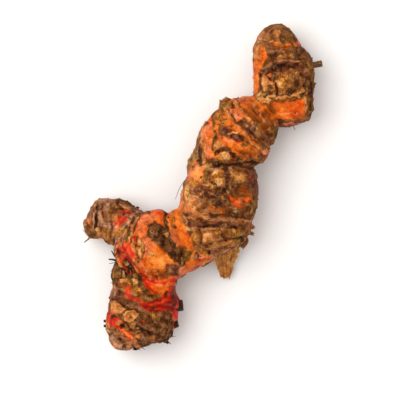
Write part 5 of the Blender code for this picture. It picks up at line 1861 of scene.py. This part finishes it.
@dataclass
class CutRoots:
    """The cut roots on the crown finger and the foot, and the stumps on the flanks and underneath."""

    shapes: tuple[RootShape, ...] = ROOT_SHAPES
    step: float = 0.4
    sides: int = 20
    stump_seed: int = 11
    stump_count: int = 14
    stump_radius: tuple[float, float] = (0.55, 1.2)
    stump_length: tuple[float, float] = (0.8, 2.2)
    stump_facing: tuple[float, float] = (-0.92, -0.5)
    stump_clearance: float = 1.6
    stump_spacing: float = 8.0
    stump_open_space: float = 6.0
    stump_taper: tuple[float, float, float] = (1.7, 1.3, 0.85)
    knots: tuple[float, float] = (0.16, 0.08)
    end_rings: tuple[float, ...] = (0.86, 0.6, 0.3, 0.08)
    dish: float = 0.25

    def stumps(self, skin: Piece) -> Iterator[RootShape]:
        """Stumps where the skin faces outwards or down, clear of the table.

        Args:
            skin: The rhizome's skin.

        Yields:
            One stump after another.
        """
        draw = random.Random(self.stump_seed)
        points, normals = points_of(skin), normals_of(skin)
        tree = tree_of(skin, points)
        found: list[Array] = []
        lowest, highest = self.stump_facing
        while len(found) < self.stump_count:
            i = draw.randrange(len(points))
            foot, out = points[i], normals[i]
            radius, length = draw.uniform(*self.stump_radius), draw.uniform(*self.stump_length)
            tip = foot + out * length
            if not lowest < out[2] < highest or tip[2] - radius < self.stump_clearance:
                continue
            if any(np.linalg.norm(foot - other) < self.stump_spacing for other in found):
                continue
            if tree.ray_cast(Vector(foot + out * 0.5), Vector(out), self.stump_open_space)[0] is not None:
                continue
            found.append(foot)
            spread, waist, end = (radius * share for share in self.stump_taper)
            lean = np.array([draw.uniform(-0.4, 0.4), draw.uniform(-0.4, 0.4), 0.0])
            sections = ((*(foot - out), spread), (*foot, waist), (*(tip + lean), end))
            yield RootShape(f"stump_{len(found)}", sections, 0.2)

    def root(self, mesh: Mesh, shape: RootShape, seed: int) -> tuple[list, list]:
        """Adds one root with knotty sides and a torn, slightly dished end.

        Args:
            mesh: The mesh.
            shape: The root.
            seed: Picks its knots.

        Returns:
            Where each point lies on the root, and how far it is on the cut end.
        """
        gone, path = smooth_path(shape.sections, self.step)
        _, across, up = directions(path[:, :3])
        angles = np.linspace(0, 2 * math.pi, self.sides, endpoint=False)
        way = path[-1, :3] - path[-2, :3]
        way /= np.linalg.norm(way)
        loops, places, ends = [], [], []
        rows = [(i, 1.0, 0.0) for i in range(len(path))]
        rows += [(len(path) - 1, share, share - 1) for share in self.end_rings]
        for i, share, dish in rows:
            loop = []
            for angle in angles:
                around = np.array([math.cos(angle), math.sin(angle)])
                here = (*(2 * around), 0.5 * gone[i] + 5 * seed)
                coarse, fine = field_at(*here, 0.9, 71), field_at(*here, 0.35, 72)
                knot = 1 + self.knots[0] * coarse + self.knots[1] * fine
                torn = shape.torn * field_at(*(3 * around * share), 9 * seed, 0.8, 73)
                at_end = i == len(path) - 1
                out = around[0] * across[i] + around[1] * up[i]
                point = path[i, :3] + path[i, 3] * knot * share * out
                loop.append(point + at_end * (torn + self.dish * dish) * way)
                places.append((around[0] * path[i, 3], around[1] * path[i, 3], gone[i]))
                ends.append(1.0 if share < 0.9 else 0.0)
            loops.append(np.array(loop))
        close_tube(mesh, loops)
        return places, ends

    def build(self, skin: Piece) -> list[Piece]:
        """Makes and dresses the roots.

        Args:
            skin: The rhizome's skin.

        Returns:
            The roots of the crown and the foot one by one, and the stumps as one piece.
        """
        bark = RootMaterial("cut_root").build(SOUND_ROOT)
        rotten = RootMaterial("rotten_root").build(ROTTEN_ROOT)
        groups = [(shape.name, [shape]) for shape in self.shapes]
        groups.append(("root_stumps", list(self.stumps(skin))))
        made = []
        for name, shapes in groups:
            mesh = bmesh.new()
            places, ends = [], []
            for seed, shape in enumerate(shapes):
                more_places, more_ends = self.root(mesh, shape, seed + 3 * len(made))
                places += more_places
                ends += more_ends
            root = new_object(name, mesh)
            put_values(root, "root_place", np.array(places))
            put_values(root, "root_end", np.array(ends))
            made.append(declare(root, rotten if name.startswith("foot") else bark))
        return made


@dataclass(frozen=True)
class Hair:
    """A thin root hair: (x, y, z) along it and its radius at the base and at the tip."""

    line: tuple
    base: float
    tip: float


HAIRS = (
    Hair(((-5.2, 5.4, 15), (-7.2, 3, 15.6), (-9.6, -0.6, 15.8), (-11.4, -5.2, 15.2)), 0.16, 0.07),
    Hair(((-44.6, -18, 11), (-46.2, -20.2, 10.6), (-48.2, -22, 10.4), (-49.9, -23.4, 10.4)), 0.75, 0.14),
    Hair(((-34.6, -31.4, 18.4), (-36.4, -29.2, 18.8), (-38, -26.6, 19)), 0.5, 0.2),
    Hair(((-34.9, -31.2, 18.2), (-37.2, -30.4, 18.4), (-39.2, -30.2, 18.6)), 0.55, 0.3),
    Hair(((-35.4, -32.4, 18), (-37, -33.4, 17.8), (-38.4, -35.6, 17.4)), 0.2, 0.09),
    Hair(((-34.6, -30.6, 18.6), (-36.9, -31.6, 19), (-39, -32, 19.4)), 0.22, 0.09),
    Hair(((-34.2, -30, 18.8), (-35, -28, 19.4), (-35.4, -26, 19.6)), 0.24, 0.1),
    Hair(((-2.4, -29.6, 12), (-2, -32.4, 11), (-2.8, -34.8, 10.4)), 0.14, 0.07),
    Hair(((38, 26.4, 9), (38.8, 24.8, 8.6), (39.2, 23.9, 8.4)), 0.2, 0.08),
    Hair(((-14.9, -65, 10.2), (-14, -65.6, 10.3), (-13.2, -66.2, 10.4)), 0.3, 0.1),
    Hair(((-26, -66.4, 13), (-25.2, -67.6, 13.4), (-24, -68.2, 13.6)), 0.2, 0.08),
)


@dataclass
class RootHairs:
    """The single hairs that stand off the rhizome, and the short ones that lie on its crust."""

    hairs: tuple[Hair, ...] = HAIRS
    sides: int = 6
    step: float = 0.5
    lying_count: int = 150
    lying_seed: int = 21
    lying_length: tuple[float, float] = (1.4, 4.2)
    lying_radius: float = 0.09
    lying_stride: float = 0.6
    lying_lift: float = 0.1
    least_rough: float = 0.6
    lowest: float = 3.0

    def hair(self, mesh: Mesh, hair: Hair) -> None:
        """Adds one hair.

        Args:
            mesh: The mesh.
            hair: The hair.
        """
        _, path = smooth_path(hair.line, self.step)
        _, across, up = directions(path[:, :3])
        radii = np.linspace(hair.base, hair.tip, len(path))
        angles = np.linspace(0, 2 * math.pi, self.sides, endpoint=False)[:, None]
        loops = [
            centre + radius * (np.cos(angles) * side + np.sin(angles) * rise)
            for centre, radius, side, rise in zip(path[:, :3], radii, across, up)
        ]
        close_tube(mesh, loops)

    def lying(self, skin: Piece, rough: Array) -> Iterator[Hair]:
        """Short hairs that follow the skin where it is rough.

        Args:
            skin: The rhizome's skin.
            rough: How rough it is at each point.

        Yields:
            One hair after another.
        """
        draw = random.Random(self.lying_seed)
        points, normals = points_of(skin), normals_of(skin)
        tree = tree_of(skin, points)
        found = 0
        while found < self.lying_count:
            i = draw.randrange(len(points))
            if rough[i] < self.least_rough or points[i, 2] < self.lowest:
                continue
            way = np.cross(normals[i], [draw.gauss(0, 1) for _ in "xyz"])
            way /= np.linalg.norm(way)
            steps = max(3, round(draw.uniform(*self.lying_length) / self.lying_stride))
            bend = draw.uniform(-0.35, 0.35)
            place, line = points[i], []
            for _ in range(steps):
                spot, out, _, _ = tree.find_nearest(Vector(place))
                spot, out = np.array(spot), np.array(out)
                line.append(tuple(spot + self.lying_lift * out))
                way = way - out * (way @ out) + bend * np.cross(out, way)
                way /= np.linalg.norm(way)
                place = spot + self.lying_stride * way
            found += 1
            yield Hair(tuple(line), self.lying_radius, 0.6 * self.lying_radius)

    def build(self, skin: Piece, rough: Array) -> list[Piece]:
        """Makes and dresses the hairs.

        Args:
            skin: The rhizome's skin.
            rough: How rough it is at each point.

        Returns:
            The standing hairs and the lying ones.
        """
        material = CrumbMaterial("root_hair").build(HAIR_SHADES)
        made = []
        for name, hairs in (("root_hairs", self.hairs), ("crust_fibres", self.lying(skin, rough))):
            mesh = bmesh.new()
            for hair in hairs:
                self.hair(mesh, hair)
            made.append(declare(new_object(name, mesh), material))
        return made


SOIL_SHADES = Shades((0.022, 0.01, 0.005), (0.08, 0.036, 0.017), (0.22, 0.115, 0.058))
HAIR_SHADES = Shades((0.02, 0.008, 0.003), (0.1, 0.045, 0.016), (0.34, 0.19, 0.08))
FLAKE_SHADES = Shades((0.03, 0.009, 0.002), (0.13, 0.045, 0.01), (0.42, 0.19, 0.05))


class CrumbMaterial(MaterialDraft):
    """Small matt bits whose shade changes from one to the next."""

    def build(self, shades: Shades) -> Material:
        """Adds the nodes.

        Args:
            shades: The shades.

        Returns:
            The finished material.
        """
        apart = self.noise(3.0, 1.0, 0.5)
        grain = self.noise(0.35, 4.0, 0.65)
        colour = self.shade(self.blend(((apart, 1.5), (grain, 0.9))), shades, 0.3, 0.74)
        return self.finish(colour, self.blend(((grain, 0.3),), 0.82), self.blend(((grain, 0.2),), 0.0), 0.2)


def drawn_places(
    skin: Piece, likely: Array, lowest: float, count: int, draw: random.Random
) -> Iterator[tuple[Array, Array]]:
    """Random places on the skin.

    Args:
        skin: The rhizome's skin.
        likely: How likely each of its points is.
        lowest: Height above the table under which nothing is placed.
        count: How many places are wanted.
        draw: The random draws.

    Yields:
        A place and the way that the skin faces there.
    """
    points, normals = points_of(skin), normals_of(skin)
    found = 0
    while found < count:
        i = draw.randrange(len(points))
        if draw.random() > likely[i] or points[i, 2] < lowest:
            continue
        found += 1
        yield points[i], normals[i]


@dataclass
class SoilCrumbs:
    """Crumbs of soil that are left in the hollows and on the crust."""

    count: int = 620
    seed: int = 31
    size: tuple[float, float] = (0.14, 0.42)
    sunk: float = 0.35
    lowest: float = 1.5

    def build(self, skin: Piece, likely: Array) -> Piece:
        """Makes and dresses the crumbs.

        Args:
            skin: The rhizome's skin.
            likely: How likely a crumb is at each point.

        Returns:
            All crumbs as one piece.
        """
        draw = random.Random(self.seed)
        mesh = bmesh.new()
        for place, out in drawn_places(skin, likely, self.lowest, self.count, draw):
            size = draw.uniform(*self.size) * (1.6 if draw.random() < 0.08 else 1.0)
            centre = place + out * size * (0.5 - self.sunk)
            stretch = Matrix.Diagonal([draw.uniform(0.7, 1.3) for _ in "xyz"]).to_4x4()
            turn = Matrix.Rotation(draw.uniform(0, math.pi), 4, Vector([draw.gauss(0, 1) for _ in "xyz"]))
            frame_there = Matrix.Translation(Vector(centre) * MM) @ turn @ stretch
            made = bmesh.ops.create_icosphere(mesh, subdivisions=1, radius=size * MM, matrix=frame_there)
            for corner in made["verts"]:
                away = corner.co - Vector(centre) * MM
                corner.co += away * draw.uniform(-0.22, 0.22)
        return declare(new_object("soil_crumbs", mesh), CrumbMaterial("soil").build(SOIL_SHADES))


@dataclass
class PeelingFlakes:
    """Bits of old bark that lift off the skin."""

    count: int = 90
    seed: int = 41
    length: tuple[float, float] = (1.2, 3.4)
    width: tuple[float, float] = (0.5, 1.1)
    lift: tuple[float, float] = (0.15, 0.5)
    cup: tuple[float, float] = (-0.15, 0.25)
    rows: int = 7
    thickness: float = 0.16
    thin_edge: float = 0.3
    sunk: float = 0.08
    fast_share: float = 0.35
    lowest: float = 3.0

    def flake(self, mesh: Mesh, place: Array, out: Array, draw: random.Random) -> None:
        """Adds one flake that is fast at one end and lifts at the other.

        Args:
            mesh: The mesh.
            place: Where it sits.
            out: The way that the skin faces there.
            draw: The random draws.
        """
        way = np.cross(out, [draw.gauss(0, 1) for _ in "xyz"])
        way /= np.linalg.norm(way)
        side = np.cross(out, way)
        length, width = draw.uniform(*self.length), draw.uniform(*self.width)
        lift, cup = draw.uniform(*self.lift), draw.uniform(*self.cup)
        loops = []
        for s in np.linspace(0, 1, self.rows):
            wide = width * (0.75 + 0.5 * math.sin(math.pi * min(1, s + 0.15))) * draw.uniform(0.85, 1.15)
            top, under = [], []
            for u in (-1, -0.5, 0, 0.5, 1):
                rise = 0.45 * lift * s * s * length + cup * u * u * wide - self.sunk
                middle = place + way * (s - self.fast_share) * length + side * u * wide + out * rise
                half = 0.5 * self.thickness * (self.thin_edge if abs(u) == 1 else 1)
                top.append(middle + half * out)
                under.append(middle - half * out)
            loops.append(top + under[::-1])
        close_tube(mesh, loops)

    def build(self, skin: Piece, likely: Array) -> Piece:
        """Makes and dresses the flakes.

        Args:
            skin: The rhizome's skin.
            likely: How likely a flake is at each point.

        Returns:
            All flakes as one piece.
        """
        draw = random.Random(self.seed)
        mesh = bmesh.new()
        for place, out in drawn_places(skin, likely, self.lowest, self.count, draw):
            self.flake(mesh, place, out, draw)
        material = CrumbMaterial("bark_flake").build(FLAKE_SHADES)
        return declare(new_object("bark_flakes", mesh), material, 40.0)


# Table, light and camera


TABLE_SHADES = Shades((0.91, 0.908, 0.905), (0.9175, 0.916, 0.9135), (0.925, 0.924, 0.922))


class TableMaterial(MaterialDraft):
    """White matt laminate with a faint cloudiness."""

    def build(self) -> Material:
        """Adds the nodes and returns the finished material."""
        colour = self.shade(self.noise(60.0, 2.0, 0.5), TABLE_SHADES, 0.3, 0.7)
        return self.finish(colour, 0.7, self.blend(((self.noise(1.5, 2.0), 0.01),), 0.0), 0.2)


@dataclass
class Studio:
    """The table, the lights and the camera."""

    plan: Plan
    table_side: float = 4000.0
    sensor: float = 36.0
    key_from: tuple[float, float] = (158.0, 60.0)
    key_distance: float = 800.0
    key_side: float = 760.0
    key_power: float = 4.7
    key_colour: Colour = (1.0, 0.985, 0.96)
    air_colour: Colour = (1.0, 0.965, 0.94)
    air_strength: float = 0.8

    def table(self) -> Piece:
        """The white table top."""
        mesh = bmesh.new()
        bmesh.ops.create_grid(mesh, x_segments=1, y_segments=1, size=self.table_side * MM / 2)
        table = new_object("table_top", mesh)
        table.data.materials.append(TableMaterial("table_white").build())
        table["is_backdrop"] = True
        return table

    def key_light(self) -> Piece:
        """The large soft light, high at the upper left."""
        lamp = bpy.data.lights.new("key_light", "AREA")
        lamp.shape = "DISK"
        lamp.size = self.key_side * MM
        lamp.energy = self.key_power
        lamp.color = self.key_colour
        light = bpy.data.objects.new("key_light", lamp)
        bpy.context.scene.collection.objects.link(light)
        turn, rise = (math.radians(angle) for angle in self.key_from)
        away = Vector((math.cos(turn) * math.cos(rise), math.sin(turn) * math.cos(rise), math.sin(rise)))
        light.location = away * self.key_distance * MM
        light.rotation_mode = "QUATERNION"
        light.rotation_quaternion = away.to_track_quat("Z", "Y")
        return light

    def air(self) -> bpy.types.World:
        """The even light of the room."""
        world = bpy.data.worlds.new("studio_air")
        world.use_nodes = True
        background = world.node_tree.nodes["Background"]
        background.inputs["Color"].default_value = (*self.air_colour, 1.0)
        background.inputs["Strength"].default_value = self.air_strength
        bpy.context.scene.world = world
        return world

    def camera(self) -> Piece:
        """The camera straight above the plan's middle."""
        lens = bpy.data.cameras.new("overhead_camera")
        half_frame = self.plan.middle[0] * self.plan.square
        lens.sensor_width = self.sensor
        lens.lens = self.sensor / 2 * self.plan.eye_height / half_frame
        lens.clip_start, lens.clip_end = 0.05, 20.0
        camera = bpy.data.objects.new("overhead_camera", lens)
        bpy.context.scene.collection.objects.link(camera)
        x, y = self.plan.centre()
        camera.location = Vector((x, y, self.plan.level + self.plan.eye_height)) * MM
        bpy.context.scene.camera = camera
        return camera

    def build(self) -> None:
        """Sets everything up."""
        bpy.context.scene.view_settings.view_transform = "Standard"
        for made in (self.table(), self.key_light(), self.air(), self.camera()):
            LOG.info("%s is in place", made.name)


def write_sizes() -> None:
    """Works out the solid's box and the dressed rhizome's box, as plain numbers in metres."""
    boxes = {"cad": CAD_BOX, "visual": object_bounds()}
    sizes = {name: [list(corner) for corner in box] for name, box in boxes.items()}


def main() -> None:
    """Builds the rhizome piece by piece and sets up the studio."""
    logging.basicConfig(level=logging.INFO, format="%(message)s")
    skin, paint = RhizomeSkin(SkinForm()).build()
    rough = paint.share(F.CRUST, F.OLIVE, F.FIBRE, F.BLACK)
    ScaleLeaves().build()
    CutRoots().build(skin)
    RootHairs().build(skin, rough)
    SoilCrumbs().build(skin, 0.15 + 0.85 * paint.share(F.CRUST, F.BLACK))
    PeelingFlakes().build(skin, 0.1 + 0.9 * rough)
    Studio(PLAN).build()
    write_sizes()


if __name__ == "__main__":
    main()
